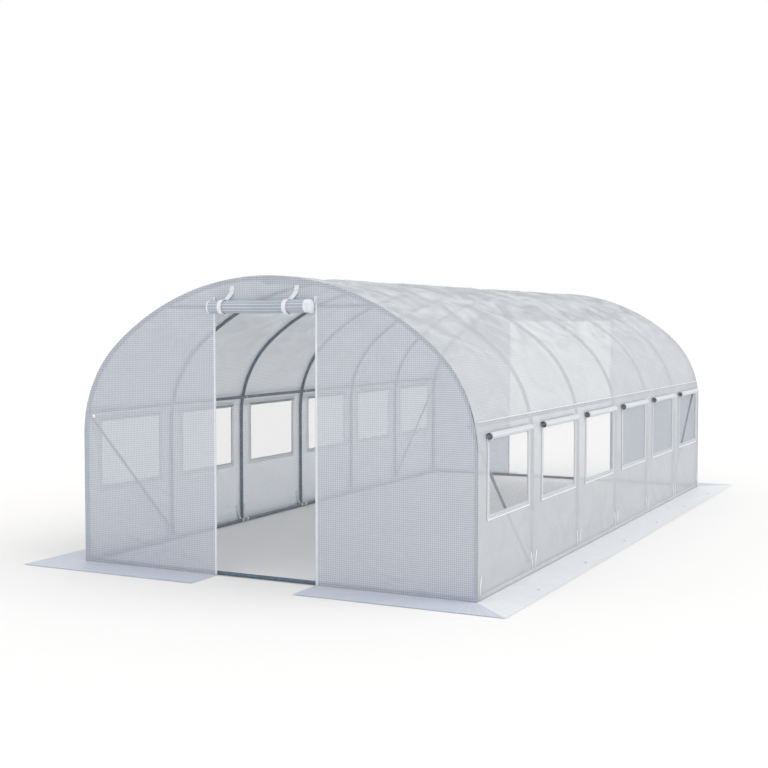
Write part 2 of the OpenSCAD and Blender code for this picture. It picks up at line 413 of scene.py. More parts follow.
@dataclass(frozen=True)
class NetFinish:
    """The fine insect net of a window.

    Attributes:
        name: the material's name.
        colour: colour of the net's threads.
        low: cover between threads.
        high: cover on a thread.
        pitch: distance between threads, in metres.
        thread_share: a thread's width as a share of the pitch.
        shadow: darkness between threads, as a factor on the colour.
    """

    name: str
    colour: Point
    low: float
    high: float
    pitch: float = 0.004
    thread_share: float = 0.35
    shadow: float = 0.82

    def build(self, groups: Groups) -> bpy.types.Material:
        """Builds the material.

        Args:
            groups: the shared shader groups.

        Returns:
            The material, which reads the piece's UV map in metres.
        """
        material, tree, shader = blank_material(self.name)
        metres = tree.node("ShaderNodeUVMap", uv_map=MAP_NAME).outputs[0]
        weave = {"Map": metres, "Pitch": self.pitch, "Thread": self.thread_share}
        mask = groups.place(tree, groups.grid, weave).outputs["Mask"]
        surface = {
            "Base Color": tree.tint(mask, scaled(self.colour, self.shadow), self.colour),
            "Alpha": tree.blend(mask, self.low, self.high),
            "Roughness": 0.6,
            "Specular IOR Level": 0.2,
        }
        tree.fill(shader, surface)
        return material


@dataclass(frozen=True)
class TapeFinish:
    """Woven tape, as used for borders, straps and ties.

    Attributes:
        name: the material's name.
        colour: the tape's colour.
        rib: distance between the weave's ribs, in metres.
        soiled: colour of the soiled patches, as a factor on the tape's.
    """

    name: str
    colour: Point
    rib: float = 0.0028
    soiled: float = 0.9

    def build(self, groups: Groups) -> bpy.types.Material:
        """Builds the material.

        Args:
            groups: the shared shader groups.

        Returns:
            The material, in Object coordinates.
        """
        material, tree, shader = blank_material(self.name)
        place = tree.node("ShaderNodeTexCoord").outputs["Object"]
        ribs = {"Vector": place, "Scale": 1 / self.rib, "Randomness": 0.25}
        weave = tree.node("ShaderNodeTexVoronoi", ribs).outputs[0]
        soft = {"Vector": place, "Scale": 9.0, "Contrast": 2.0}
        patches = groups.place(tree, groups.mottle, soft).outputs[0]
        relief = {"Strength": 0.4, "Distance": 0.0004, "Height": weave}
        surface = {
            "Base Color": tree.tint(patches, self.colour, scaled(self.colour, self.soiled)),
            "Roughness": tree.blend(patches, 0.6, 0.75),
            "Normal": tree.node("ShaderNodeBump", relief).outputs[0],
            "Specular IOR Level": 0.25,
        }
        tree.fill(shader, surface)
        return material


@dataclass(frozen=True)
class MetalFinish:
    """Dull metal with a slight spangle.

    Attributes:
        name: the material's name.
        dark: the darker colour of the spangle.
        light: the lighter colour.
        metallic: how metallic the surface is.
        roughness: its mean roughness.
        grain: size of the spangle, in metres.
    """

    name: str
    dark: Point
    light: Point
    metallic: float
    roughness: float = 0.42
    grain: float = 0.012

    def build(self, groups: Groups) -> bpy.types.Material:
        """Builds the material.

        Args:
            groups: the shared shader groups.

        Returns:
            The material, in Object coordinates.
        """
        material, tree, shader = blank_material(self.name)
        place = tree.node("ShaderNodeTexCoord").outputs["Object"]
        flakes = tree.node("ShaderNodeTexVoronoi", {"Vector": place, "Scale": 1 / self.grain})
        tone = tree.node("ShaderNodeSeparateColor", {0: flakes.outputs["Color"]}).outputs[0]
        soft = {"Vector": place, "Scale": 7.0, "Contrast": 2.4}
        patches = groups.place(tree, groups.mottle, soft).outputs[0]
        mix = tree.math("MULTIPLY_ADD", tone, 0.45, tree.math("MULTIPLY", patches, 0.55))
        relief = {"Strength": 0.15, "Distance": 0.0005, "Height": mix}
        surface = {
            "Base Color": tree.tint(mix, self.dark, self.light),
            "Roughness": tree.blend(mix, self.roughness - 0.08, self.roughness + 0.12),
            "Normal": tree.node("ShaderNodeBump", relief).outputs[0],
            "Metallic": self.metallic,
        }
        tree.fill(shader, surface)
        return material


class Finishes:
    """Every finish of the tunnel, built once.

    Attributes:
        cover: film of the roof and the side walls.
        end: film of the end walls.
        skirt: film of the skirt that the light falls on.
        shaded_skirt: film of the other skirts.
        wound: film of the rolled doors.
        flap: film of the rolled window flaps.
        hem: doubled film of the hems and the window borders.
        net: the window nets.
        tape: white tape.
        ribbon: the white ribbon of the ties, made whiter than the tape as painted light for the light that
            comes through it from behind.
        core: painted shade: dark discs at the ends of the rolled flaps, which stand for the shade inside the
            wound film.
        steel: the frame's tubes.
        ground: a darker copy of the steel for the tubes across the doorways' foot, painted shade for the
            shade they lie in.
        zinc: bolts and eyelets.
    """

    def __init__(self) -> None:
        """Builds the materials."""
        groups = Groups()
        self.cover = FilmFinish(
            "cover_film", (0.500, 0.526, 0.563), (0.545, 0.560, 0.568), 0.75, 0.975, inside=1.76, fold_shading=0.36
        ).build(groups)
        self.end = FilmFinish(
            "end_film", (0.500, 0.530, 0.597), (0.565, 0.600, 0.668), 0.67, 0.975, inside=1.48, fold_shading=0.06
        ).build(groups)
        self.skirt = FilmFinish(
            "skirt_film", (0.82, 0.84, 0.865), (0.86, 0.875, 0.895), 0.94, 0.97, fold_shading=0.10
        ).build(groups)
        self.shaded_skirt = FilmFinish(
            "shaded_skirt_film", (0.60, 0.65, 0.74), (0.66, 0.70, 0.78), 0.94, 0.97, fold_shading=0.10
        ).build(groups)
        self.wound = FilmFinish(
            "wound_film", (0.30, 0.345, 0.41), (0.60, 0.64, 0.70), 1.0, 1.0, fold_shading=0.10
        ).build(groups)
        self.flap = FilmFinish(
            "flap_film", (0.55, 0.57, 0.61), (0.71, 0.73, 0.76), 1.0, 1.0, fold_shading=0.06
        ).build(groups)
        self.hem = FilmFinish(
            "hem_film", (0.66, 0.68, 0.71), (0.76, 0.78, 0.81), 0.50, 0.82, fold_shading=0.06
        ).build(groups)
        self.net = NetFinish("window_net", (0.52, 0.535, 0.56), 0.15, 0.38).build(groups)
        self.tape = TapeFinish("white_tape", (0.84, 0.86, 0.89)).build(groups)
        # partly painted light: the ties' white ribbon is raised above the tape's colour for the light that
        # comes through from behind
        self.ribbon = TapeFinish("tie_ribbon_painted_lit", (0.955, 0.96, 0.97)).build(groups)
        # painted shade: the dark discs at the flaps' ends stand for the shade inside the wound film
        self.core = TapeFinish("painted_roll_shade", (0.22, 0.225, 0.235), 0.004).build(groups)
        self.steel = MetalFinish(
            "galvanised_steel", (0.17, 0.205, 0.25), (0.33, 0.37, 0.42), 0.6
        ).build(groups)
        # painted shade: a darker copy of the steel for the rails across the doorways' foot
        self.ground = MetalFinish(
            "ground_steel_painted_shade", (0.075, 0.11, 0.15), (0.17, 0.225, 0.29), 0.6
        ).build(groups)
        self.zinc = MetalFinish(
            "bright_zinc", (0.55, 0.57, 0.6), (0.75, 0.77, 0.8), 0.7, 0.35, 0.004
        ).build(groups)


# ---------- Meshes ----------


def add_object(name: str, data: bpy.types.ID) -> bpy.types.Object:
    """Puts an object into the scene, at the origin.

    Args:
        name: the object's name.
        data: its mesh, camera or lamp.

    Returns:
        The object.
    """
    made = bpy.data.objects.new(name, data)
    bpy.context.scene.collection.objects.link(made)
    return made


class Sketch:
    """Points and faces of one mesh, with a map in metres.

    Attributes:
        points: the points.
        faces: the corners of each face, by number.
        maps: the places of each face's corners on the map.
        slots: the material slot of each face.
    """

    def __init__(self) -> None:
        """Starts an empty mesh."""
        self.points: list[Point] = []
        self.faces: list[tuple[int, ...]] = []
        self.maps: list[list[Pair]] = []
        self.slots: list[int] = []

    def add(self, corners: tuple[int, ...], places: list[Pair], slot: int = 0) -> None:
        """Adds a face.

        Args:
            corners: the numbers of its corners.
            places: their places on the map.
            slot: the face's material slot.
        """
        self.faces.append(corners)
        self.maps.append(places)
        self.slots.append(slot)

    def sheet(
        self,
        rows: Sequence[float],
        columns: Sequence[float],
        where: Callable[[float, float], Point],
        open_cell: Callable[[float, float], bool] | None = None,
        slot: Callable[[float, float], int] | None = None,
    ) -> None:
        """Adds a sheet whose points a function places.

        Args:
            rows: the sheet's first coordinates, in metres.
            columns: its second coordinates, in metres.
            where: gives the place of a point from its two coordinates.
            open_cell: says which cells, by their middle, are left open.
            slot: gives the material slot of a cell, by its middle.
        """
        first, wide = len(self.points), len(columns)
        self.points += [where(a, b) for a in rows for b in columns]
        for i, (a, b) in enumerate(zip(rows, rows[1:])):
            for j, (c, d) in enumerate(zip(columns, columns[1:])):
                middle = ((a + b) / 2, (c + d) / 2)
                if open_cell and open_cell(*middle):
                    continue
                corner = first + i * wide + j
                loop = (corner, corner + 1, corner + wide + 1, corner + wide)
                self.add(loop, [(a, c), (a, d), (b, d), (b, c)], slot(*middle) if slot else 0)

    def ribbon(self, path: Sequence[Vector], across: Vector, width: float, thick: float) -> None:
        """Adds a flat closed ribbon along a path.

        Args:
            path: points along the ribbon's middle.
            across: direction of the ribbon's width, as far as the path allows it.
            width: the ribbon's width.
            thick: its thickness.
        """
        first, last = len(self.points), len(path) - 1
        along = [0.0]
        for a, b in zip(path, path[1:]):
            along.append(along[-1] + (b - a).length)
        for i, point in enumerate(path):
            tangent = (path[min(i + 1, last)] - path[max(i - 1, 0)]).normalized()
            side = (across - tangent * across.dot(tangent)).normalized()
            up = side.cross(tangent).normalized()
            for dx, dz in ((-1, -1), (1, -1), (1, 1), (-1, 1)):
                self.points.append(tuple(point + side * (dx * width / 2) + up * (dz * thick / 2)))
        for i in range(last):
            a = first + 4 * i
            places = [(0, along[i]), (width, along[i]), (width, along[i + 1]), (0, along[i + 1])]
            for k in range(4):
                m = (k + 1) % 4
                self.add((a + k, a + m, a + 4 + m, a + 4 + k), list(places))
        end = first + 4 * last
        for loop in ((first + 3, first + 2, first + 1, first), (end, end + 1, end + 2, end + 3)):
            self.add(loop, [(0, 0), (width, 0), (width, thick), (0, thick)])

    def face(self, outward: Callable[[Vector], Vector]) -> None:
        """Turns over the faces that look the wrong way.

        Args:
            outward: gives the direction that a face should look in, from its middle.
        """
        for number, loop in enumerate(self.faces):
            corners = [Vector(self.points[i]) for i in loop]
            middle = sum(corners, Vector()) / len(corners)
            turned = (corners[1] - corners[0]).cross(corners[-1] - corners[0])
            if turned.dot(outward(middle)) < 0:
                self.faces[number] = tuple(reversed(loop))
                self.maps[number] = list(reversed(self.maps[number]))

    def build(self, name: str, *materials: bpy.types.Material, smooth: bool = True) -> bpy.types.Object:
        """Makes the object.

        Args:
            name: the object's name.
            *materials: its materials, in slot order.
            smooth: whether its faces are shaded smooth.

        Returns:
            The object, at the origin.
        """
        mesh = bpy.data.meshes.new(name)
        mesh.from_pydata(self.points, [], self.faces)
        layer = mesh.uv_layers.new(name=MAP_NAME)
        places = [value for corners in self.maps for pair in corners for value in pair]
        layer.data.foreach_set("uv", places)
        mesh.polygons.foreach_set("material_index", self.slots)
        mesh.polygons.foreach_set("use_smooth", [smooth] * len(self.faces))
        for material in materials:
            mesh.materials.append(material)
        mesh.update()
        return add_object(name, mesh)


def steps(low: float, high: float, size: float, *through: float) -> list[float]:
    """Gives sorted values from low to high, about a size apart, that pass through some values.

    Args:
        low: the first value.
        high: the last value.
        size: the largest distance between values.
        *through: values between the two that have to be there.

    Returns:
        The values.
    """
    fixed = sorted({low, high, *(round(v, 6) for v in through if low < v < high)})
    found = [low]
    for a, b in zip(fixed, fixed[1:]):
        count = max(1, math.ceil((b - a) / size - 1e-6))
        found += [a + (b - a) * k / count for k in range(1, count + 1)]
    return found


def finish_piece(piece: bpy.types.Object, slot: Slot, *replaced: str) -> bpy.types.Object:
    """Ties a piece to the frame and reports it.

    Args:
        piece: the piece, in place.
        slot: the record's material slot; not used.
        *replaced: the CAD nodes that it stands for.

    Returns:
        The piece.
    """
    if replaced:
        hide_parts(*replaced)
    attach(piece, ROOT)
    LOG.info("made %s with %d faces", piece.name, len(piece.data.polygons))
    return piece


# ---------- Geometry Nodes ----------


def geometry_tree(name: str, inputs: Inputs) -> tuple[Tree, dict, Socket]:
    """Makes an empty geometry node tree.

    Args:
        name: the tree's name.
        inputs: for each input besides Geometry and Material its socket type and its default.

    Returns:
        The tree, its input sockets and the output socket.
    """
    tree = bpy.data.node_groups.new(name, "GeometryNodeTree")
    tree.interface.new_socket("Geometry", in_out="INPUT", socket_type="NodeSocketGeometry")
    add_sockets(tree, {**inputs, "Material": ("NodeSocketMaterial", None)})
    tree.interface.new_socket("Geometry", in_out="OUTPUT", socket_type="NodeSocketGeometry")
    into, out = tree.nodes.new("NodeGroupInput"), tree.nodes.new("NodeGroupOutput")
    return Tree(tree), {s.name: s for s in into.outputs}, out.inputs[0]


def set_out(tree: Tree, instances: dict, given: dict, out: Socket) -> bpy.types.NodeTree:
    """Ends a tree in Instance on Points, Realize Instances and Set Material.

    Args:
        tree: the tree.
        instances: the inputs of Instance on Points.
        given: the tree's input sockets, Material among them.
        out: the group output's socket.

    Returns:
        The finished node tree.
    """
    placed = tree.node("GeometryNodeInstanceOnPoints", instances)
    real = tree.node("GeometryNodeRealizeInstances", {0: placed.outputs[0]})
    dress = {"Geometry": real.outputs[0], "Material": given["Material"]}
    tree.link(tree.node("GeometryNodeSetMaterial", dress).outputs[0], out)
    return tree.tree


def stitch_tree() -> bpy.types.NodeTree:
    """Makes the tree that sews short stitches, or sets zip teeth, along lines.

    Returns:
        A tree with inputs Spacing, Size, a stitch's length, width and height, and Material.
    """
    tree, given, out = geometry_tree(
        "stitches",
        {
            "Spacing": ("NodeSocketFloat", 0.014),
            "Size": ("NodeSocketVector", (0.008, 0.0015, 0.001)),
        },
    )
    line = tree.node("GeometryNodeMeshToCurve", {0: given["Geometry"]})
    spread = {"Curve": line.outputs[0], "Length": given["Spacing"]}
    even = tree.node("GeometryNodeResampleCurve", spread, mode="LENGTH")
    tangent = tree.node("GeometryNodeInputTangent")
    turn = tree.node("FunctionNodeAlignRotationToVector", {"Vector": tangent.outputs[0]}, axis="X")
    block = tree.node("GeometryNodeMeshCube", {"Size": given["Size"]})
    blocks = {"Points": even.outputs[0], "Instance": block.outputs[0], "Rotation": turn.outputs[0]}
    return set_out(tree, blocks, given, out)


def ring_tree() -> bpy.types.NodeTree:
    """Makes the tree that sets a round ring, such as an eyelet, at each point.

    Returns:
        A tree with inputs Radius, Wire, Flat, how much the ring is flattened, and Material.
    """
    tree, given, out = geometry_tree(
        "rings",
        {
            "Radius": ("NodeSocketFloat", 0.009),
            "Wire": ("NodeSocketFloat", 0.0028),
            "Flat": ("NodeSocketFloat", 0.5),
        },
    )
    circle = tree.node("GeometryNodeCurvePrimitiveCircle", {"Resolution": 20, "Radius": given["Radius"]})
    profile = tree.node("GeometryNodeCurvePrimitiveCircle", {"Resolution": 8, "Radius": given["Wire"]})
    ring = tree.node("GeometryNodeCurveToMesh", {0: circle.outputs[0], 1: profile.outputs[0]})
    scale = tree.node("ShaderNodeCombineXYZ", {"X": 1.0, "Y": 1.0, "Z": given["Flat"]})
    flat = tree.node("GeometryNodeTransform", {"Geometry": ring.outputs[0], "Scale": scale.outputs[0]})
    return set_out(tree, {"Points": given["Geometry"], "Instance": flat.outputs[0]}, given, out)


def bolt_tree() -> bpy.types.NodeTree:
    """Makes the tree that sets a bolt head with its washer at each point, facing along X.

    Returns:
        A tree with inputs Radius, Height, Facing, 1 or -1, and Material.
    """
    tree, given, out = geometry_tree(
        "bolts",
        {
            "Radius": ("NodeSocketFloat", 0.007),
            "Height": ("NodeSocketFloat", 0.006),
            "Facing": ("NodeSocketFloat", 1.0),
        },
    )
    hexagon = {"Vertices": 6, "Radius": given["Radius"], "Depth": given["Height"]}
    head = tree.node("GeometryNodeMeshCylinder", hexagon)
    wide = tree.math("MULTIPLY", given["Radius"], 1.5)
    washer = tree.node("GeometryNodeMeshCylinder", {"Vertices": 16, "Radius": wide, "Depth": 0.0016})
    lift = tree.node("ShaderNodeCombineXYZ", {"Z": tree.math("MULTIPLY", given["Height"], 0.5)})
    move = {"Geometry": head.outputs[0], "Translation": lift.outputs[0]}
    raised = tree.node("GeometryNodeTransform", move)
    both = tree.node("GeometryNodeJoinGeometry")
    for part in (raised, washer):
        tree.link(part.outputs[0], both.inputs[0])
    angle = tree.math("MULTIPLY", given["Facing"], math.pi / 2)
    turn = tree.node("ShaderNodeCombineXYZ", {"Y": angle})
    bolts = {"Points": given["Geometry"], "Instance": both.outputs[0], "Rotation": turn.outputs[0]}
    return set_out(tree, bolts, given, out)


class Trees:
    """The geometry node trees, each made once.

    Attributes:
        stitch: short blocks along lines.
        ring: rings at points.
        bolt: bolt heads at points.
    """

    def __init__(self) -> None:
        """Makes the trees."""
        self.stitch = stitch_tree()
        self.ring = ring_tree()
        self.bolt = bolt_tree()


def grow(name: str, source: bpy.types.Mesh, tree: bpy.types.NodeTree, **values: object) -> bpy.types.Object:
    """Runs a geometry node tree on a mesh and keeps the result as a plain mesh.

    Args:
        name: the finished object's name.
        source: the mesh that the tree works on.
        tree: the tree.
        **values: the tree's inputs by name.

    Returns:
        The object, at the origin, with no modifier.
    """
    base = add_object(name + "_lines", source)
    modifier = base.modifiers.new("nodes", "NODES")
    modifier.node_group = tree
    for item in tree.interface.items_tree:
        if item.item_type == "SOCKET" and item.in_out == "INPUT" and item.name in values:
            modifier[item.identifier] = values[item.name]
    graph = bpy.context.evaluated_depsgraph_get()
    mesh = bpy.data.meshes.new_from_object(base.evaluated_get(graph))
    base.modifiers.remove(modifier)
    bpy.data.objects.remove(base)
    mesh.name = name
    return add_object(name, mesh)


def line_mesh(name: str, lines: Sequence[Sequence[Point]]) -> bpy.types.Mesh:
    """Makes a mesh of open lines, or of loose points where each line has one point.

    Args:
        name: the mesh's name.
        lines: the points of each line.

    Returns:
        The mesh.
    """
    points: list[Point] = []
    edges: list[tuple[int, int]] = []
    for line in lines:
        first = len(points)
        points += line
        edges += [(first + k, first + k + 1) for k in range(len(line) - 1)]
    mesh = bpy.data.meshes.new(name)
    mesh.from_pydata(points, edges, [])
    return mesh


# ---------- The tunnel's shape ----------

PROUD = 0.0012  # how far the middle of a sewn tape lies outside the film


@dataclass(frozen=True)
class Box:
    """The box round a CAD node.

    Attributes:
        low: its lowest corner.
        high: its highest corner.
    """

    low: Point
    high: Point

    @classmethod
    def of(cls, node: str) -> "Box":
        """Gives the box round a node of the frame."""
        return cls(*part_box(node))

    @property
    def middle(self) -> Point:
        """The box's middle."""
        return tuple((low + high) / 2 for low, high in zip(self.low, self.high))

    @property
    def inner(self) -> float:
        """How far a tube along a side stays from the tunnel's middle plane."""
        return min(abs(self.low[0]), abs(self.high[0]))

    @property
    def radius(self) -> float:
        """Radius of a tube or a roll that lies along the box."""
        return (self.high[2] - self.low[2]) / 2


@dataclass(frozen=True)
class Arch:
    """The outline of the cover: upright walls, two shoulder arcs and a crown arc.

    Attributes:
        half_w: half of the width.
        height: height at the ridge.
        leg: height of the upright walls.
        shoulder: radius of the shoulder arcs.
    """

    half_w: float
    height: float
    leg: float = 0.9
    shoulder: float = 0.86

    @property
    def crown(self) -> float:
        """Radius of the crown arc."""
        inner, rise = self.half_w - self.shoulder, self.height - self.leg
        return (inner**2 + rise**2 - self.shoulder**2) / (2 * (rise - self.shoulder))

    @property
    def turn(self) -> float:
        """Angle at which a shoulder arc meets the crown arc."""
        return math.atan2(self.leg - self.height + self.crown, self.half_w - self.shoulder)

    @property
    def half_girth(self) -> float:
        """Length of the outline from the ground to the ridge."""
        return self.leg + self.shoulder * self.turn + self.crown * (math.pi / 2 - self.turn)

    def at(self, girth: float) -> tuple[float, float, float, float]:
        """Gives the point at a distance from the ridge, measured along the outline.

        Args:
            girth: the distance, negative on the left.

        Returns:
            The point's X and Z, and the outward direction's X and Z.
        """
        side = 1 if girth >= 0 else -1
        far = abs(girth)
        bend = self.crown * (math.pi / 2 - self.turn)
        if far <= bend:
            angle = math.pi / 2 - far / self.crown
            x, z = self.crown * math.cos(angle), self.height - self.crown + self.crown * math.sin(angle)
        elif far <= bend + self.shoulder * self.turn:
            angle = self.turn - (far - bend) / self.shoulder
            x = self.half_w - self.shoulder + self.shoulder * math.cos(angle)
            z = self.leg + self.shoulder * math.sin(angle)
        else:
            angle = 0.0
            x, z = self.half_w, max(0.0, self.half_girth - far)
        return side * x, z, side * math.cos(angle), math.sin(angle)

    def girth_at(self, z: float) -> float:
        """Gives the distance from the ridge of a point of the side wall at a height."""
        low, high = 0.0, self.half_girth
        for _ in range(40):
            middle = (low + high) / 2
            low, high = (middle, high) if self.at(middle)[1] > z else (low, middle)
        return (low + high) / 2

    def top_at(self, x: float) -> float:
        """Gives the outline's height over a place on the ground."""
        far = abs(x)
        inner = self.half_w - self.shoulder
        if far >= inner + self.shoulder * math.cos(self.turn):
            return self.leg + math.sqrt(max(0.0, self.shoulder**2 - max(0.0, far - inner) ** 2))
        return self.height - self.crown + math.sqrt(self.crown**2 - far**2)


@dataclass(frozen=True)
class Tunnel:
    """Sizes that all pieces share, taken from the frame.

    Attributes:
        half_w: half of the cover's width.
        half_l: half of its length.
        height: its height.
        skirt_w: width of the skirt.
        hoop_y: distance of an end hoop from the tunnel's middle.
        hoops: number of hoops.
    """

    half_w: float = Box.of("side_wall_right").high[0]
    half_l: float = -Box.of("front_wall_left").low[1]
    height: float = Box.of("roof_crown").high[2]
    skirt_w: float = Box.of("skirt_right").high[0] - Box.of("side_wall_right").high[0]
    hoop_y: float = Box.of("hoop_7").middle[1]
    hoops: int = 7

    @property
    def arch(self) -> Arch:
        """The cover's outline."""
        return Arch(self.half_w, self.height)

    @property
    def bay(self) -> float:
        """Distance between hoops."""
        return 2 * self.hoop_y / (self.hoops - 1)

    def hoop_places(self) -> list[float]:
        """Gives each hoop's Y."""
        return [-self.hoop_y + k * self.bay for k in range(self.hoops)]


@dataclass(frozen=True)
class Window:
    """One window's outer border and its pane, on a side wall.

    Attributes:
        low: Y where the border starts.
        high: Y where it ends.
        sill: height of the border's lower edge.
        head: height of the pane's upper edge.
        border: width of the border.
    """

    low: float
    high: float
    sill: float
    head: float
    border: float = 0.038

    def holds(self, y: float, z: float) -> bool:
        """Says whether a place is in the pane."""
        inner = self.low + self.border < y < self.high - self.border
        return inner and self.sill + self.border < z < self.head


def windows(tunnel: Tunnel) -> list[Window]:
    """Gives the windows of a side, from the frame's borders.

    Args:
        tunnel: the shared sizes.

    Returns:
        The windows, from front to back.
    """
    borders = Box.of("window_borders_right")
    wide = (borders.high[1] - borders.low[1]) - (tunnel.hoops - 2) * tunnel.bay
    head = Box.of("window_rolls_right").middle[2]
    starts = [borders.low[1] + k * tunnel.bay for k in range(tunnel.hoops - 1)]
    return [Window(start, start + wide, borders.low[2], head) for start in starts]


# ---------- Cover ----------


@dataclass
class Cover:
    """The film over the hoops, in one piece from ground to ground.

    Attributes:
        tunnel: the shared sizes.
        finishes: the materials.
        cell: size of the mesh's cells.
        sag: how far the film sinks between hoops, on the roof.
        ruffle: height of the roof's wrinkles.
        crest: how far a wrinkle may rise over the outline.
        wall_top: height at which the sag and the wrinkles start.
        fade: height over which they reach their full size.
        hem_w: width of the hems along the end arches.
        seam_z: height of the seams over the windows.
        foot_w: width of the hems along the ground.
    """

    tunnel: Tunnel
    finishes: Finishes
    cell: float = 0.034
    sag: float = 0.012
    ruffle: float = 0.040
    crest: float = 0.010
    wall_top: float = 1.35
    fade: float = 0.35
    hem_w: float = 0.014
    seam_z: float = 1.09
    foot_w: float = 0.032

    def depth(self, girth: float, y: float, z: float) -> float:
        """Gives how far the film lies outside the outline.

        Args:
            girth: distance from the ridge along the outline.
            y: place along the tunnel.
            z: height.

        Returns:
            The distance, negative inside the outline.
        """
        between = (y + self.tunnel.hoop_y) / self.tunnel.bay % 1.0
        slack = math.sin(math.pi * between) ** 2 if abs(y) < self.tunnel.hoop_y else 0.0
        roof = min(1.0, max(0.0, (z - self.wall_top) / self.fade))
        # a slow noise bends the folds, and a fine one makes them uneven
        pull = noise.noise(Vector((girth * 1.7 + 11.0, y * 1.1, 3.7)))
        crease = noise.noise(Vector((girth * 4.6 + 3.0 * pull, y * 2.2 + 2.0 * pull, 8.1)))
        fine = noise.noise(Vector((girth * 8.5, y * 3.6 + 3.0 * pull, 1.3)))
        wrinkle = self.ruffle * (0.6 * (1 - 2 * abs(crease)) - 0.42 + 0.3 * fine)
        free = roof * slack**0.5 * (min(wrinkle, self.crest) - self.sag * slack)
        over_ridge_rail = -0.002 - 0.3 * abs(girth)  # keeps the film off the rail under the ridge
        return max(free, over_ridge_rail)

    def build(self) -> bpy.types.Object:
        """Builds the film with its window holes.

        Returns:
            The film.
        """
        arch, panes = self.tunnel.arch, windows(self.tunnel)
        pane = panes[0]
        edges = [arch.girth_at(z) for z in (pane.sill + pane.border, pane.head)]
        cuts = [side.value * girth for side in Side for girth in edges]
        marks = [v for w in panes for v in (w.low + w.border, w.high - w.border)]
        girths = steps(-arch.half_girth, arch.half_girth, self.cell, *cuts)
        places = steps(-self.tunnel.half_l, self.tunnel.half_l, self.cell, *marks, *self.tunnel.hoop_places())

        def where(girth: float, y: float) -> Point:
            """Places a point of the film."""
            x, z, nx, nz = arch.at(girth)
            out = self.depth(girth, y, z)
            return x + nx * out, y, max(0.0, z + nz * out)

        def is_open(girth: float, y: float) -> bool:
            """Says whether a cell is a window."""
            z = arch.at(girth)[1]
            return any(w.holds(y, z) for w in panes)

        sketch = Sketch()
        sketch.sheet(girths, places, where, is_open)
        sketch.face(lambda middle: Vector((middle.x, 0, middle.z - 0.5)))
        film = sketch.build("cover_film_sheet", self.finishes.cover)
        nodes = ("side_wall_left", "side_wall_right", "roof_left", "roof_crown", "roof_right")
        finish_piece(film, Slot.FILM, *nodes)
        hole = (pane.high - pane.low - 2 * pane.border) * (pane.head - pane.sill - pane.border)
        return film

    def seams(self) -> list[bpy.types.Object]:
        """Builds the hems along the end arches and the seams above the windows.

        Returns:
            The hem and seam tapes.
        """
        arch, made = self.tunnel.arch, []
        for end in End:
            hem = Sketch()
            y = end.value * (self.tunnel.half_l - self.hem_w)
            path = []
            for girth in steps(-arch.half_girth + 0.004, arch.half_girth - 0.004, 0.06):
                x, z, nx, nz = arch.at(girth)
                path.append(Vector((x + nx * PROUD, y, z + nz * PROUD)))
            hem.ribbon(path, ALONG, self.hem_w, 0.0012)
            made.append(hem.build(f"{end.word}_arch_hem", self.finishes.hem))
        for side in Side:
            seam, foot = Sketch(), Sketch()
            x, z, nx, _ = arch.at(side.value * arch.girth_at(self.seam_z))
            places = steps(-self.tunnel.half_l + 0.03, self.tunnel.half_l - 0.03, 0.25)
            seam.ribbon([Vector((x + nx * PROUD, y, z)) for y in places], UP, 0.007, 0.001)
            made.append(seam.build(f"{side.word}_wall_seam", self.finishes.tape))
            x = side.value * (self.tunnel.half_w + PROUD)
            foot.ribbon([Vector((x, y, 0.019)) for y in places], UP, self.foot_w, 0.0008)
            made.append(foot.build(f"{side.word}_foot_hem", self.finishes.hem))
        return [finish_piece(tape, Slot.RIBBON) for tape in made]


@dataclass
class EndWall:
    """The film wall of one end, with its doorway.

    Attributes:
        tunnel: the shared sizes.
        finishes: the materials.
        end: which end it is.
        cell: size of the mesh's cells.
        belly: how far the panels bulge out.
        calm: distance from an edge over which the bulge grows.
    """

    tunnel: Tunnel
    finishes: Finishes
    end: End
    cell: float = 0.05
    belly: float = 0.006
    calm: float = 0.3

    @property
    def door(self) -> float:
        """Half of the doorway's width."""
        return Box.of(f"{self.end.word}_wall_right").low[0]

    @property
    def head(self) -> float:
        """Height of the doorway."""
        return Box.of(f"{self.end.word}_wall_top").low[2]

    def build(self) -> bpy.types.Object:
        """Builds the wall.

        Returns:
            The wall.
        """
        arch, door, head = self.tunnel.arch, self.door, self.head
        half_w, y_wall = self.tunnel.half_w, self.end.value * self.tunnel.half_l
        across = steps(-half_w, half_w, self.cell, -door, door, -half_w + 0.012, half_w - 0.012)
        up = steps(0.0, 1.0, self.cell) + steps(1.0, 1.3, self.cell / 2)[1:]
        over = up[-1] - 1.0

        def height(x: float, share: float) -> float:
            """Gives the height of a row: 1 is the doorway's head, and the last is the arch."""
            top = arch.top_at(x)
            mark = head if abs(x) <= door + 1e-6 else head * top / arch.top_at(door)
            return mark * share if share <= 1 else mark + (top - mark) * (share - 1) / over

        def where(share: float, x: float) -> Point:
            """Places a point of the wall."""
            z = height(x, share)
            edge = min(half_w - abs(x), z, arch.top_at(x) - z)
            clear = min(edge / self.calm, abs(abs(x) - door) / 0.25, 1.0)
            soft = noise.noise(Vector((x * 2.1, z * 1.3, 5.0 + self.end.value)))
            bulge = max(0.0, clear) * self.belly * (0.6 + 0.8 * soft)
            return x, y_wall + self.end.value * max(0.0, bulge), z

        sketch = Sketch()
        sketch.sheet(up, across, where, lambda share, x: share < 1 and abs(x) < door)
        sketch.maps = [
            [(sketch.points[i][0] + half_w, sketch.points[i][2]) for i in corners] for corners in sketch.faces
        ]
        sketch.face(lambda middle: Vector((0, self.end.value, 0)))
        word = self.end.word
        wall = sketch.build(f"{word}_wall_sheet", self.finishes.end)
        finish_piece(wall, Slot.FILM, f"{word}_wall_left", f"{word}_wall_right", f"{word}_wall_top")
        return wall


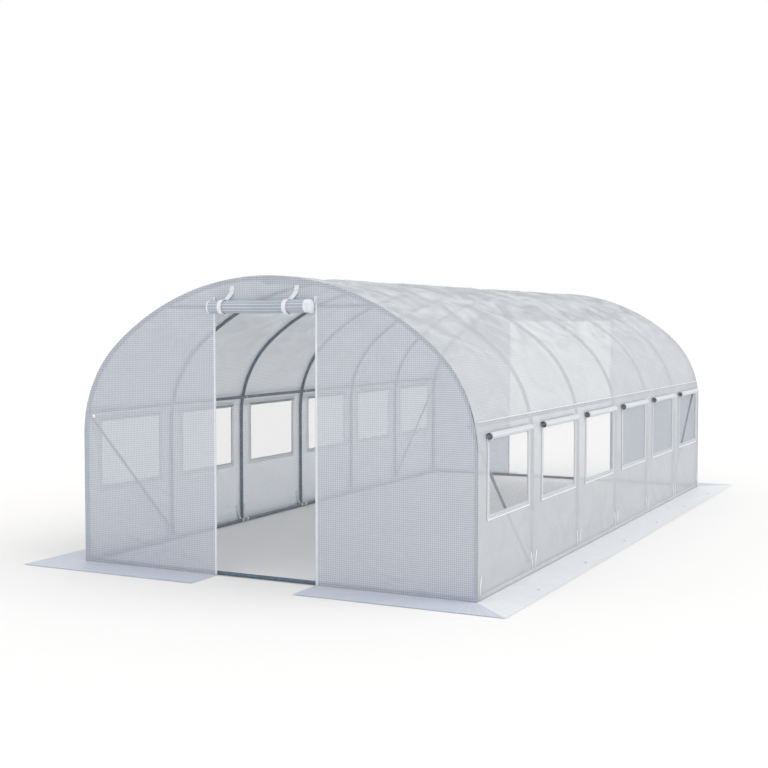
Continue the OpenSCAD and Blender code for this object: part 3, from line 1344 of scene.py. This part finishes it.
@dataclass
class Skirt:
    """The film skirt on the ground, with its eyelets.

    Attributes:
        tunnel: the shared sizes.
        finishes: the materials.
        trees: the geometry node trees.
        cell: size of the mesh's cells.
        hole: half of the square cell that holds an eyelet.
        eyelet_in: distance of the eyelets from the wall.
        eyelet_r: radius of their holes.
        lie: the skirt's height over the ground at the wall.
        lift: how far its outer part rises at most.
    """

    tunnel: Tunnel
    finishes: Finishes
    trees: Trees
    cell: float = 0.06
    hole: float = 0.016
    eyelet_in: float = 0.21
    eyelet_r: float = 0.006
    lie: float = 0.0012
    lift: float = 0.004

    def ripple(self, x: float, y: float, share: float) -> float:
        """Gives the skirt's height over the ground.

        Args:
            x: place across the tunnel.
            y: place along it.
            share: 0 at the wall and 1 at the outer edge.

        Returns:
            The height.
        """
        soft = 0.5 + 0.5 * noise.noise(Vector((x * 3.1, y * 1.9, 2.2)))
        return self.lie + self.lift * share * (1 - 0.4 * share) * soft

    def pierce(self, sketch: Sketch, where: Callable[[float, float], Point], y: float) -> None:
        """Fills an eyelet's cell with faces round a hole.

        Args:
            sketch: the skirt's mesh.
            where: places a point of the skirt.
            y: the eyelet's place along the tunnel.
        """
        count, out, turns = 16, self.eyelet_in, ((1, 1), (-1, 1), (-1, -1), (1, -1))
        flat = [(out + dx * self.hole, y + dy * self.hole) for dx, dy in turns]
        for k in range(count):
            angle = 2 * math.pi * (k + 0.5) / count
            flat.append((out + self.eyelet_r * math.cos(angle), y + self.eyelet_r * math.sin(angle)))
        first = len(sketch.points)
        sketch.points += [where(*place) for place in flat]
        quarter = count // 4
        for k in range(count):
            a, b, corner = 4 + k, 4 + (k + 1) % count, (k // quarter) % 4
            loops = [(corner, b, a)]
            if (k + 1) % quarter == 0:
                loops.append((corner, (corner + 1) % 4, b))
            for loop in loops:
                sketch.add(tuple(first + i for i in loop), [flat[i] for i in loop])

    def side(self, side: Side) -> bpy.types.Object:
        """Builds the skirt along one side.

        Args:
            side: which side.

        Returns:
            The skirt.
        """
        half_w, half_l, wide = self.tunnel.half_w, self.tunnel.half_l, self.tunnel.skirt_w
        hoop_y, bay = self.tunnel.hoop_y, self.tunnel.bay
        eyelets = [-hoop_y + (k + 0.5) * bay for k in range(self.tunnel.hoops - 1)]
        outs = steps(0.0, wide, self.cell, self.eyelet_in - self.hole, self.eyelet_in + self.hole)
        marks = [e + d for e in eyelets for d in (-self.hole, self.hole)]
        places = steps(-half_l, half_l, self.cell, *marks)

        def where(out: float, y: float) -> Point:
            """Places a point of the skirt, which has mitred ends."""
            past = y + math.copysign(out, y) if abs(y) > half_l - 1e-6 else y
            x = side.value * (half_w + out)
            return x, past, self.ripple(x, past, out / wide)

        def is_open(out: float, y: float) -> bool:
            """Says whether a cell holds an eyelet."""
            return abs(out - self.eyelet_in) < self.hole and any(abs(y - e) < self.hole for e in eyelets)

        sketch = Sketch()
        sketch.sheet(outs, places, where, is_open)
        for y in eyelets:
            self.pierce(sketch, where, y)
        sketch.face(lambda middle: UP)
        finish = self.finishes.skirt if side is Side.RIGHT else self.finishes.shaded_skirt
        skirt = sketch.build(f"{side.word}_skirt_sheet", finish)
        finish_piece(skirt, Slot.FILM, f"skirt_{side.word}")
        raised = [[(x, y, z + 0.001)] for x, y, z in (where(self.eyelet_in, y) for y in eyelets)]
        rings = grow(
            f"{side.word}_skirt_eyelets", line_mesh("eyelet_places", raised), self.trees.ring,
            Radius=0.0085, Wire=0.0026, Flat=0.45, Material=self.finishes.zinc,
        )
        finish_piece(rings, Slot.RIBBON)
        return skirt

    def end(self, end: End, door: float) -> bpy.types.Object:
        """Builds the skirt on both sides of a doorway.

        Args:
            end: which end.
            door: half of the doorway's width.

        Returns:
            The skirt.
        """
        half_w, half_l, wide = self.tunnel.half_w, self.tunnel.half_l, self.tunnel.skirt_w
        outs = steps(0.0, wide, self.cell)
        sketch = Sketch()
        for side in Side:
            across = [side.value * v for v in steps(door, half_w, self.cell)]

            def where(out: float, x: float) -> Point:
                """Places a point of the skirt, which is mitred at the tunnel's corner."""
                past = x + math.copysign(out, x) if abs(x) > half_w - 1e-6 else x
                y = end.value * (half_l + out)
                return past, y, self.ripple(past, y, out / wide)

            sketch.sheet(outs, across, where)
        sketch.face(lambda middle: UP)
        skirt = sketch.build(f"{end.word}_skirt_sheet", self.finishes.shaded_skirt)
        finish_piece(skirt, Slot.FILM, f"skirt_{end.word}")
        return skirt


# ---------- Windows ----------


@dataclass
class WindowRow:
    """The windows of one side: borders, stitches, nets and rolled flaps.

    Attributes:
        tunnel: the shared sizes.
        finishes: the materials.
        trees: the geometry node trees.
        side: which side.
        flap_long: length of a flap, unrolled.
        flap_ends: distance of a flap's ends from the window's, along the tunnel.
        core: radius of a rolled flap's hollow.
        shade_disc_ends: distance of the dark discs, painted shade for the inside of the roll, from the
            window's, along the tunnel.
        piping: width of the white piping round a border.
        stitch_in: distance of the stitches from a border's edges.
        tuck: how far a net reaches under the border.
        net_sag: how far a net hangs in.
        border_out: how far a border's level and upright strips lie outside the film.
        stitch_out: the same for its level and upright stitches.
        piping_out: the same for its level and upright piping.
    """

    tunnel: Tunnel
    finishes: Finishes
    trees: Trees
    side: Side
    flap_long: float = 0.52
    flap_ends: Pair = (-0.008, -0.030)
    core: float = 0.009
    shade_disc_ends: Pair = (-0.006, -0.032)
    piping: float = 0.008
    stitch_in: float = 0.006
    tuck: float = 0.01
    net_sag: float = 0.004
    border_out: Pair = (0.0016, 0.0024)
    stitch_out: Pair = (0.0034, 0.0036)
    piping_out: Pair = (0.0040, 0.0042)

    def wall_point(self, y: float, z: float, out: float) -> Point:
        """Gives a point at a height on the side wall, some way outside it."""
        arch = self.tunnel.arch
        x, _, nx, nz = arch.at(self.side.value * arch.girth_at(z))
        return x + nx * out, y, z + nz * out

    def borders(self) -> bpy.types.Object:
        """Builds the borders, with a white piping round each.

        Returns:
            The borders of the side's windows, in one mesh.
        """
        sketch, piping = Sketch(), Sketch()
        for window in windows(self.tunnel):
            low, high, wide = window.low, window.high, window.border
            places = steps(low, high, 0.08)
            rows = steps(window.sill + 0.001, window.head + wide / 2, 0.05)
            level, upright = self.border_out
            for z in (window.sill + wide / 2, window.head + 0.01):
                path = [Vector(self.wall_point(y, z, level)) for y in places]
                sketch.ribbon(path, UP, wide, 0.0014)
            for y in (low + wide / 2, high - wide / 2):
                path = [Vector(self.wall_point(y, z, upright)) for z in rows]
                sketch.ribbon(path, ALONG, wide, 0.0014)
            half = self.piping / 2
            level, upright = self.piping_out
            base = [Vector(self.wall_point(y, window.sill + half, level)) for y in places]
            piping.ribbon(base, UP, self.piping, 0.0016)
            for y in (low + half, high - half):
                path = [Vector(self.wall_point(y, z, upright)) for z in rows]
                piping.ribbon(path, ALONG, self.piping, 0.0016)
        edge = piping.build(f"{self.side.word}_window_piping", self.finishes.tape, smooth=False)
        finish_piece(edge, Slot.RIBBON)
        borders = sketch.build(f"{self.side.word}_window_borders", self.finishes.hem, smooth=False)
        return finish_piece(borders, Slot.RIBBON, f"window_borders_{self.side.word}")

    def stitches(self) -> bpy.types.Object:
        """Sews two rows of stitches round each border.

        Returns:
            The stitches.
        """
        lines = []
        level, upright = self.stitch_out
        for window in windows(self.tunnel):
            for inset in (self.stitch_in, window.border - self.stitch_in):
                ends = window.low + inset, window.high - inset
                base = window.sill + inset
                rows = steps(base, window.head, 0.05)
                for y in ends:
                    lines.append([self.wall_point(y, z, upright) for z in rows])
                lines.append([self.wall_point(y, base, level) for y in ends])
        sewn = grow(
            f"{self.side.word}_window_stitches", line_mesh("stitch_lines", lines), self.trees.stitch,
            Spacing=0.016, Size=(0.009, 0.0016, 0.0012), Material=self.finishes.wound,
        )
        return finish_piece(sewn, Slot.RIBBON)

    def nets(self) -> bpy.types.Object:
        """Builds the nets, in one mesh.

        Returns:
            The nets.
        """
        sketch = Sketch()
        for window in windows(self.tunnel):
            inset = window.border
            rows = steps(window.sill + inset - self.tuck, window.head, 0.06)
            places = steps(window.low + inset - self.tuck, window.high - inset + self.tuck, 0.08)

            def where(z: float, y: float) -> Point:
                """Places a point of a net, which hangs in a little."""
                middle = math.sin(math.pi * (z - rows[0]) / (rows[-1] - rows[0]))
                across = math.sin(math.pi * (y - places[0]) / (places[-1] - places[0]))
                return self.wall_point(y, z, -PROUD - self.net_sag * middle * across)

            sketch.sheet(rows, places, where)
        sketch.face(lambda middle: Vector((self.side.value, 0, 0)))
        net = sketch.build(f"{self.side.word}_window_nets", self.finishes.net)
        finish_piece(net, Slot.NET, f"window_screens_{self.side.word}")
        pane = windows(self.tunnel)[0]
        pane.head - pane.sill
        return net

    def flaps(self) -> list[bpy.types.Object]:
        """Builds the rolled flaps, with dark discs at their ends as painted shade for the inside of the
        rolls.

        Returns:
            The flaps.
        """
        box = Box.of(f"window_rolls_{self.side.word}")
        middle_x, _, middle_z = box.middle
        made = []
        for number, window in enumerate(windows(self.tunnel), start=1):
            roll = Roll(box.radius, self.core, self.flap_long, 20)
            sketch = Sketch()
            reach = steps(window.low + self.flap_ends[0], window.high + self.flap_ends[1], 0.045)

            def where(turned: float, y: float) -> Point:
                """Places a point of the wound flap."""
                r, angle = roll.at(turned)
                soft = 1 + 0.05 * noise.noise(Vector((y * 9.0, angle, number * 3.3)))
                side = self.side.value
                return middle_x - side * r * soft * math.cos(angle), y, middle_z + r * soft * math.sin(angle)

            sketch.sheet(roll.steps(), reach, where)
            sketch.face(lambda middle: Vector((middle.x - middle_x, 0, middle.z - middle_z)))
            flap = sketch.build(f"{self.side.word}_window_flap_{number}", self.finishes.flap)
            finish_piece(flap, Slot.ROLLED, f"window_rolls_{self.side.word}")
            made.append(flap)
        # painted shade: a dark disc at each end of a flap stands for the shade inside the wound film
        painted_ends = Sketch()
        for window in windows(self.tunnel):
            front, back = window.low + self.shade_disc_ends[0], window.high + self.shade_disc_ends[1]
            for y, turn in ((front, -1), (back, 1)):
                disc(painted_ends, (middle_x, y, middle_z), box.radius * 0.76, turn)
        finish_piece(painted_ends.build(f"{self.side.word}_flap_cores", self.finishes.core), Slot.ROLLED)
        return made


def disc(sketch: Sketch, middle: Point, radius: float, facing: int, sides: int = 20) -> None:
    """Adds a slightly dished disc that faces along Y.

    Args:
        sketch: the mesh to add to.
        middle: the disc's middle.
        radius: its radius.
        facing: 1 for +Y and -1 for -Y.
        sides: number of its sides.
    """
    first = len(sketch.points)
    sketch.points.append((middle[0], middle[1] - facing * 0.003, middle[2]))
    for k in range(sides):
        angle = 2 * math.pi * k / sides
        x, z = radius * math.cos(angle), radius * math.sin(angle)
        sketch.points.append((middle[0] + x, middle[1], middle[2] + z))
    for k in range(sides):
        a, b = first + 1 + k, first + 1 + (k + 1) % sides
        loop = (first, b, a) if facing > 0 else (first, a, b)
        sketch.add(loop, [(0.0, 0.0), (radius, 0.0), (0.0, radius)])


@dataclass(frozen=True)
class Roll:
    """A wound sheet's spiral.

    Attributes:
        outer: radius at the outside.
        inner: radius at the core.
        long: length of the wound sheet.
        sides: points in each turn.
    """

    outer: float
    inner: float
    long: float
    sides: int

    @property
    def turns(self) -> float:
        """Number of turns that use up the sheet's length."""
        return self.long / (math.pi * (self.outer + self.inner))

    def at(self, turned: float) -> tuple[float, float]:
        """Gives the radius and angle at a length along the sheet, from the outside in."""
        share = turned / self.long
        start = math.pi * 0.1
        angle = start + 2 * math.pi * self.turns * share
        return self.outer + (self.inner - self.outer) * share, angle

    def steps(self) -> list[float]:
        """Gives lengths along the sheet for its points."""
        count = max(3, round(self.turns * self.sides))
        return [self.long * k / count for k in range(count + 1)]


# ---------- Doors ----------


@dataclass
class Door:
    """One end's rolled door, its straps and its zips.

    Attributes:
        tunnel: the shared sizes.
        finishes: the materials.
        trees: the geometry node trees.
        end: which end.
        core: radius of the roll's hollow.
        hem: width of the white hem at the door's right edge.
        rim: width of the pale hem at its left edge.
        slant: how far the straps lean to the left on their way down.
        zip_w: width of the zip tapes.
        teeth_in: distance of a zip's teeth from the doorway's edge.
        tape_out: how far the middle of a tape or strap lies outside the wall.
        strap_w: width of the straps.
        fill: radius of the wound door as a share of its CAD node's.
    """

    tunnel: Tunnel
    finishes: Finishes
    trees: Trees
    end: End
    core: float = 0.010
    hem: float = 0.040
    rim: float = 0.012
    slant: float = 0.045
    zip_w: float = 0.016
    teeth_in: float = 0.0035
    tape_out: float = 0.001
    strap_w: float = 0.032
    fill: float = 0.985

    def roll_box(self) -> tuple[Vector, Vector]:
        """Gives the corners of the roll's CAD node."""
        box = Box.of(f"{self.end.word}_door_roll")
        return Vector(box.low), Vector(box.high)

    def roll(self) -> bpy.types.Object:
        """Builds the rolled door.

        Returns:
            The roll.
        """
        low, high = self.roll_box()
        middle, radius = (low + high) / 2, (high.z - low.z) / 2
        wound = Roll(radius * self.fill, self.core, middle.z - 0.02, 26)
        places = steps(low.x, high.x, 0.035, low.x + self.rim, high.x - self.hem)
        out = self.end.value

        def where(turned: float, x: float) -> Point:
            """Places a point of the wound door, a little uneven and sagging between its straps."""
            r, angle = wound.at(turned)
            soft = 1 + 0.045 * noise.noise(Vector((x * 5.0, 2 * math.cos(angle), 2 * math.sin(angle))))
            sway = 0.004 * noise.noise(Vector((x * 3.0, 0.7, 1.9)))
            y = middle.y - out * r * soft * math.cos(angle)
            return x, y, middle.z + sway + r * soft * math.sin(angle)

        def slot(turned: float, x: float) -> int:
            """Gives the hems their white tape."""
            return int(x < low.x + self.rim or x > high.x - self.hem)

        sketch = Sketch()
        sketch.sheet(wound.steps(), places, where, slot=slot)
        sketch.face(lambda place: Vector((0, place.y - middle.y, place.z - middle.z)))
        door = sketch.build(f"{self.end.word}_door_sheet", self.finishes.wound, self.finishes.tape)
        finish_piece(door, Slot.ROLLED, f"{self.end.word}_door_roll")
        caps = Sketch()
        for x, facing in ((low.x + 0.002, -1), (high.x - 0.001, 1)):
            self.cap(caps, Vector((x, middle.y, middle.z)), radius * self.fill, facing)
        caps.face(lambda place: Vector((place.x - middle.x, 0, 0)))
        finish_piece(caps.build(f"{self.end.word}_roll_caps", self.finishes.tape), Slot.RIBBON)
        return door

    def cap(self, sketch: Sketch, middle: Vector, radius: float, facing: int) -> None:
        """Adds the domed end of the roll, where the hems are tucked in.

        Args:
            sketch: the mesh to add to.
            middle: the end's middle.
            radius: its radius.
            facing: 1 for an end that faces right and -1 for one that faces left.
        """

        def where(share: float, angle: float) -> Point:
            """Places a point of the dome."""
            fold = 1 + 0.02 * math.sin(5 * angle + 1.0) * share
            r = radius * max(share, 1e-3) * fold
            x = middle.x + facing * 0.011 * math.cos(share * math.pi / 2)
            return x, middle.y + facing * r * math.cos(angle), middle.z + r * math.sin(angle)

        sketch.sheet([k / 5 for k in range(6)], [2 * math.pi * k / 24 for k in range(25)], where)

    def straps(self) -> bpy.types.Object:
        """Builds the two straps that hold the roll.

        Returns:
            The straps.
        """
        low, high = self.roll_box()
        middle, radius = (low + high) / 2, (high.z - low.z) / 2 + 0.0022
        box, wide = Box.of(f"{self.end.word}_door_straps"), self.strap_w
        top = box.high[2]
        wall, out = self.end.value * (self.tunnel.half_l + self.tape_out), self.end.value
        # how far the strap's hanging part stands off the wall, and how far under its top
        hanging = ((0.0, 0.0), (0.0, 0.02), (0.003, 0.04), (0.007, 0.06))
        sketch = Sketch()
        for x_top in (box.low[0] + wide / 2, box.high[0] - wide / 2):
            profile = [(wall + out * off, top - down) for off, down in hanging]
            for k in range(29):
                angle = math.radians(58 + k * 10)
                y = middle.y - out * radius * math.cos(angle)
                profile.append((y, middle.z + radius * math.sin(angle)))
            path = []
            for y, z in profile:
                share = min(1.0, max(0.0, (top - z) / (top - middle.z) - 0.22) / 0.6)
                lean = self.slant * share * share * (3 - 2 * share)
                path.append(Vector((x_top - lean, y, z)))
            sketch.ribbon(path, ACROSS, wide, 0.0015)
            patch = [
                Vector((x_top - 0.002, wall + out * 0.004, top - 0.012)),
                Vector((x_top + 0.004, wall + out * 0.0035, top - 0.03)),
            ]
            sketch.ribbon(patch, ACROSS, wide * 1.25, 0.0015)
        straps = sketch.build(f"{self.end.word}_door_ties", self.finishes.tape, smooth=False)
        return finish_piece(straps, Slot.RIBBON, f"{self.end.word}_door_straps")

    def zips(self) -> list[bpy.types.Object]:
        """Builds the zip tapes, their teeth and their pulls.

        Returns:
            The tapes, the teeth and the pulls.
        """
        word = self.end.word
        low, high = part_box(f"{word}_door_tapes")
        wide, out = self.zip_w, self.end.value
        wall = out * (self.tunnel.half_l + self.tape_out)
        door = (high[0] - low[0]) / 2 - wide
        # how far a pull stands off the wall, and how far under the zip's top
        hanging = ((0.004, 0.0), (0.007, 0.02), (0.006, 0.045))
        tapes, teeth, pulls = Sketch(), [], Sketch()
        for side in Side:
            x = side.value * (door + wide / 2)
            rows = steps(low[2] + 0.002, high[2], 0.12)
            path = [Vector((x, wall, z)) for z in rows]
            tapes.ribbon(path, ACROSS, wide, 0.0015)
            inner = side.value * (door + self.teeth_in)
            teeth.append([(inner, wall + out * 0.0016, z) for z in (rows[0], rows[-1])])
            tab = [Vector((inner, wall + out * off, high[2] - down)) for off, down in hanging]
            pulls.ribbon(tab, ACROSS, 0.009, 0.003)
        tape = tapes.build(f"{word}_zip_tapes", self.finishes.tape, smooth=False)
        made = [finish_piece(tape, Slot.RIBBON, f"{word}_door_tapes")]
        grown = grow(
            f"{word}_zip_teeth", line_mesh("zip_lines", teeth), self.trees.stitch,
            Spacing=0.006, Size=(0.003, 0.005, 0.0024), Material=self.finishes.flap,
        )
        made.append(finish_piece(grown, Slot.RIBBON))
        pull = pulls.build(f"{word}_zip_pulls", self.finishes.tape, smooth=False)
        made.append(finish_piece(pull, Slot.RIBBON))
        return made


# ---------- Ties and steelwork ----------


@dataclass
class BaseTies:
    """The ribbon pairs at the foot of each hoop, on one side.

    Attributes:
        tunnel: the shared sizes.
        finishes: the materials.
        side: which side.
        wide: width of a ribbon.
        sewn: height at which the ribbons are sewn on.
        beside: distance of a ribbon from its hoop.
        splay: how much further from the hoop its sewn end lies.
        thick: thickness of a ribbon.
        patch: distance from the hoop and height of points of the strip that a ribbon is sewn to.
    """

    tunnel: Tunnel
    finishes: Finishes
    side: Side
    wide: float = 0.022
    sewn: float = 0.14
    beside: float = 0.0365
    splay: float = 0.026
    thick: float = 0.0012
    patch: tuple[Pair, ...] = ((0.030, 0.036), (0.037, 0.09), (0.050, 0.150))

    def build(self) -> bpy.types.Object:
        """Builds the ribbons.

        Returns:
            The ribbons of the side, in one mesh.
        """
        rail = Box.of(f"base_rail_{self.side.word}")
        rail_x, _, rail_z = rail.middle
        radius = rail.radius + self.thick
        side = self.side.value
        wall = side * (self.tunnel.half_w - 0.0035)
        outside = side * (self.tunnel.half_w + PROUD)
        sketch = Sketch()
        for number, hoop in enumerate(self.tunnel.hoop_places()):
            for step in (-1, 1):
                y = hoop + step * self.beside
                if abs(y) > self.tunnel.hoop_y:
                    continue
                path = [
                    Vector((wall, y + step * self.splay, self.sewn)),
                    Vector((wall - side * 0.002, y + step * 0.6 * self.splay, self.sewn * 0.72)),
                    Vector((wall - side * 0.014, y + step * 0.2 * self.splay, self.sewn * 0.42)),
                ]
                for k in range(22):
                    angle = math.radians(28 - k * 15)
                    x = rail_x + side * radius * math.cos(angle)
                    path.append(Vector((x, y, rail_z + radius * math.sin(angle))))
                sketch.ribbon(path, ALONG, self.wide, self.thick)
                lean = 0.006 * noise.noise(Vector((number * 2.7, step, 0.3)))
                tail = [
                    Vector((rail_x, y, rail_z + radius)),
                    Vector((rail_x - side * 0.012, y + lean, rail_z + radius + 0.004)),
                    Vector((rail_x - side * 0.018, y + 2 * lean, rail_z + radius - 0.016)),
                ]
                sketch.ribbon(tail, ALONG, self.wide * 0.9, self.thick)
                patch = [Vector((outside, hoop + step * away, z)) for away, z in self.patch]
                sketch.ribbon(patch, ALONG, 0.013, 0.001)
        ties = sketch.build(f"{self.side.word}_base_ties", self.finishes.ribbon)
        return finish_piece(ties, Slot.RIBBON, f"base_ties_{self.side.word}")


@dataclass
class Steelwork:
    """The finish of the tubes, and the bolts on them.

    Attributes:
        tunnel: the shared sizes.
        finishes: the materials.
        trees: the geometry node trees.
        cap_r: radius of a cap.
        cap_in: distance of a cap's middle from the brace's inner edge, towards the tunnel's middle.
        bolt_down: depth of a brace's upper bolt under the brace's top.
        bolt_up: height of its lower bolt over its foot.
        bolts_out: distance of a brace's upper and lower bolts from its inner edge.
        flat_in: depth of a rail's bolts under the rail's surface.
        tubes: words that a tube's node name holds.
    """

    tunnel: Tunnel
    finishes: Finishes
    trees: Trees
    cap_r: float = 0.012
    cap_in: float = 0.038
    bolt_down: float = 0.0115
    bolt_up: float = 0.0095
    bolts_out: Pair = (0.0072, 0.0152)
    flat_in: float = 0.0006
    tubes: tuple[str, ...] = ("hoop", "rail", "braces")

    def dress(self) -> None:
        """Gives every tube of the frame its metal."""
        on_ground = [f"base_rail_{end.word}" for end in End]
        for name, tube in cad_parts.items():
            if any(word in name for word in self.tubes):
                # painted shade: the rails across the doorways' foot get the darker copy of the steel
                metal = self.finishes.ground if name in on_ground else self.finishes.steel
                tube.data.materials.clear()
                tube.data.materials.append(metal)
                LOG.info("dressed %s", name)

    def caps(self) -> bpy.types.Object:
        """Sets the white caps that show on the end walls, near a brace's upper bolt.

        Returns:
            The two caps, in one mesh.
        """
        sketch = Sketch()
        for end, side in ((End.FRONT, Side.LEFT), (End.BACK, Side.RIGHT)):
            brace = Box.of(f"braces_{side.word}")
            x, z = side.value * (brace.inner - self.cap_in), brace.high[2] - self.bolt_down
            wall = end.value * (self.tunnel.half_l + 0.0025)

            def where(share: float, angle: float) -> Point:
                """Places a point of a cap's dome."""
                r = self.cap_r * max(share, 1e-3)
                out = 0.005 * math.cos(share * math.pi / 2)
                return x + r * math.cos(angle), wall + end.value * out, z + r * math.sin(angle)

            sketch.sheet([k / 4 for k in range(5)], [2 * math.pi * k / 16 for k in range(17)], where)
        sketch.face(lambda middle: Vector((0, middle.y, 0)))
        return finish_piece(sketch.build("brace_caps", self.finishes.ribbon), Slot.RIBBON)

    def bolts(self) -> list[bpy.types.Object]:
        """Sets the bolts at the braces' ends and where the rails cross the hoops.

        Returns:
            The bolts of each side.
        """
        made = []
        for side in Side:
            brace = Box.of(f"braces_{side.word}")
            rails = [Box.of(f"{kind}_rail_{side.word}") for kind in ("side", "base")]
            top, foot = brace.high[2] - self.bolt_down, brace.low[2] + self.bolt_up
            upper, lower = (side.value * (brace.inner + out) for out in self.bolts_out)
            hoops = self.tunnel.hoop_places()
            points: list[Point] = []
            for first, second in ((hoops[0], hoops[1]), (hoops[-1], hoops[-2])):
                points += [(upper, first, top), (lower, second, foot)]
            for y in hoops:
                for rail in rails:
                    points.append((side.value * (rail.inner - self.flat_in), y, rail.middle[2]))
            heads = grow(
                f"{side.word}_frame_bolts", line_mesh("bolt_places", [[p] for p in points]), self.trees.bolt,
                Radius=0.0062, Height=0.006, Facing=-float(side.value), Material=self.finishes.zinc,
            )
            made.append(finish_piece(heads, Slot.STEEL))
        return made


# ---------- Studio ----------


@dataclass(frozen=True)
class Studio:
    """The pale floor, the soft light and the camera.

    Attributes:
        place: the camera's place.
        azimuth: the angle that the camera looks to the left of +Y, in degrees.
        down: the angle that it looks down, in degrees.
        lens: its focal length, in millimetres.
        sky: strength of the even light from all round.
        sun: strength of the soft light from above.
        sun_from: the direction that it comes from.
        spread: its angle, in degrees.
        reach: half of the floor's width.
        floor_z: height of the floor, just under the skirt.
    """

    place: Point = (4.3343, -9.9445, 1.6963)
    azimuth: float = 26.502
    down: float = 2.83
    lens: float = 58.56
    sky: float = 0.97
    sun: float = 0.86
    sun_from: Point = (0.72, 0.20, 0.62)
    spread: float = 50.0
    reach: float = 120.0
    floor_z: float = -0.001

    def camera(self) -> None:
        """Sets the camera."""
        data = bpy.data.cameras.new("camera")
        data.lens, data.sensor_width = self.lens, 36.0
        data.clip_end = 300.0
        camera = add_object("camera", data)
        camera.location = self.place
        camera.rotation_euler = (math.radians(90 - self.down), 0, math.radians(self.azimuth))
        bpy.context.scene.camera = camera

    def floor(self) -> None:
        """Lays the floor."""
        corners = ((-1, -1), (1, -1), (1, 1), (-1, 1))
        mesh = bpy.data.meshes.new("floor")
        points = [(x * self.reach, y * self.reach, self.floor_z) for x, y in corners]
        mesh.from_pydata(points, [], [(0, 1, 2, 3)])
        floor = add_object("floor", mesh)
        material, tree, shader = blank_material("pale_floor")
        place = tree.node("ShaderNodeTexCoord").outputs["Object"]
        grain = tree.node("ShaderNodeTexNoise", {"Vector": place, "Scale": 3.0, "Detail": 3.0})
        tone = tree.tint(grain.outputs[0], (0.90, 0.893, 0.886), (0.91, 0.903, 0.896))
        tree.fill(shader, {"Base Color": tone, "Roughness": 1.0, "Specular IOR Level": 0.0})
        mesh.materials.append(material)

    def light(self) -> None:
        """Sets the even world light and the soft lamp."""
        world = bpy.data.worlds.new("studio")
        bpy.context.scene.world = world
        world.use_nodes = True
        tree = Tree(world.node_tree)
        tree.tree.nodes.clear()
        path = tree.node("ShaderNodeLightPath")
        seen = tree.math("MAXIMUM", path.outputs["Is Camera Ray"], path.outputs["Is Glossy Ray"])
        seen = tree.math("MAXIMUM", seen, path.outputs["Is Transmission Ray"])
        strength = tree.blend(seen, self.sky, 1.0)
        back = tree.node("ShaderNodeBackground", {"Color": (1.0, 1.0, 1.0, 1.0), "Strength": strength})
        out = tree.node("ShaderNodeOutputWorld")
        tree.link(back.outputs[0], out.inputs[0])
        lamp = bpy.data.lights.new("soft_sun", "SUN")
        lamp.energy, lamp.angle = self.sun, math.radians(self.spread)
        made = add_object("soft_sun", lamp)
        made.rotation_euler = Vector(self.sun_from).to_track_quat("Z", "Y").to_euler()

    def build(self) -> None:
        """Sets the whole studio."""
        self.camera()
        self.floor()
        self.light()
        bpy.context.scene.view_settings.view_transform = "Standard"


def main() -> None:
    """Builds every piece of the tunnel in order."""
    logging.basicConfig(level=logging.INFO, format="%(message)s")
    Studio().build()
    finishes, trees, tunnel = Finishes(), Trees(), Tunnel()
    steelwork = Steelwork(tunnel, finishes, trees)
    steelwork.dress()
    steelwork.bolts()
    steelwork.caps()
    cover = Cover(tunnel, finishes)
    cover.build()
    cover.seams()
    skirt = Skirt(tunnel, finishes, trees)
    for end in End:
        wall = EndWall(tunnel, finishes, end)
        wall.build()
        skirt.end(end, wall.door)
        door = Door(tunnel, finishes, trees, end)
        door.straps()
        door.roll()
        door.zips()
    for side in Side:
        skirt.side(side)
        row = WindowRow(tunnel, finishes, trees, side)
        row.borders()
        row.stitches()
        row.nets()
        row.flaps()
        BaseTies(tunnel, finishes, side).build()


if __name__ == "__main__":
    main()
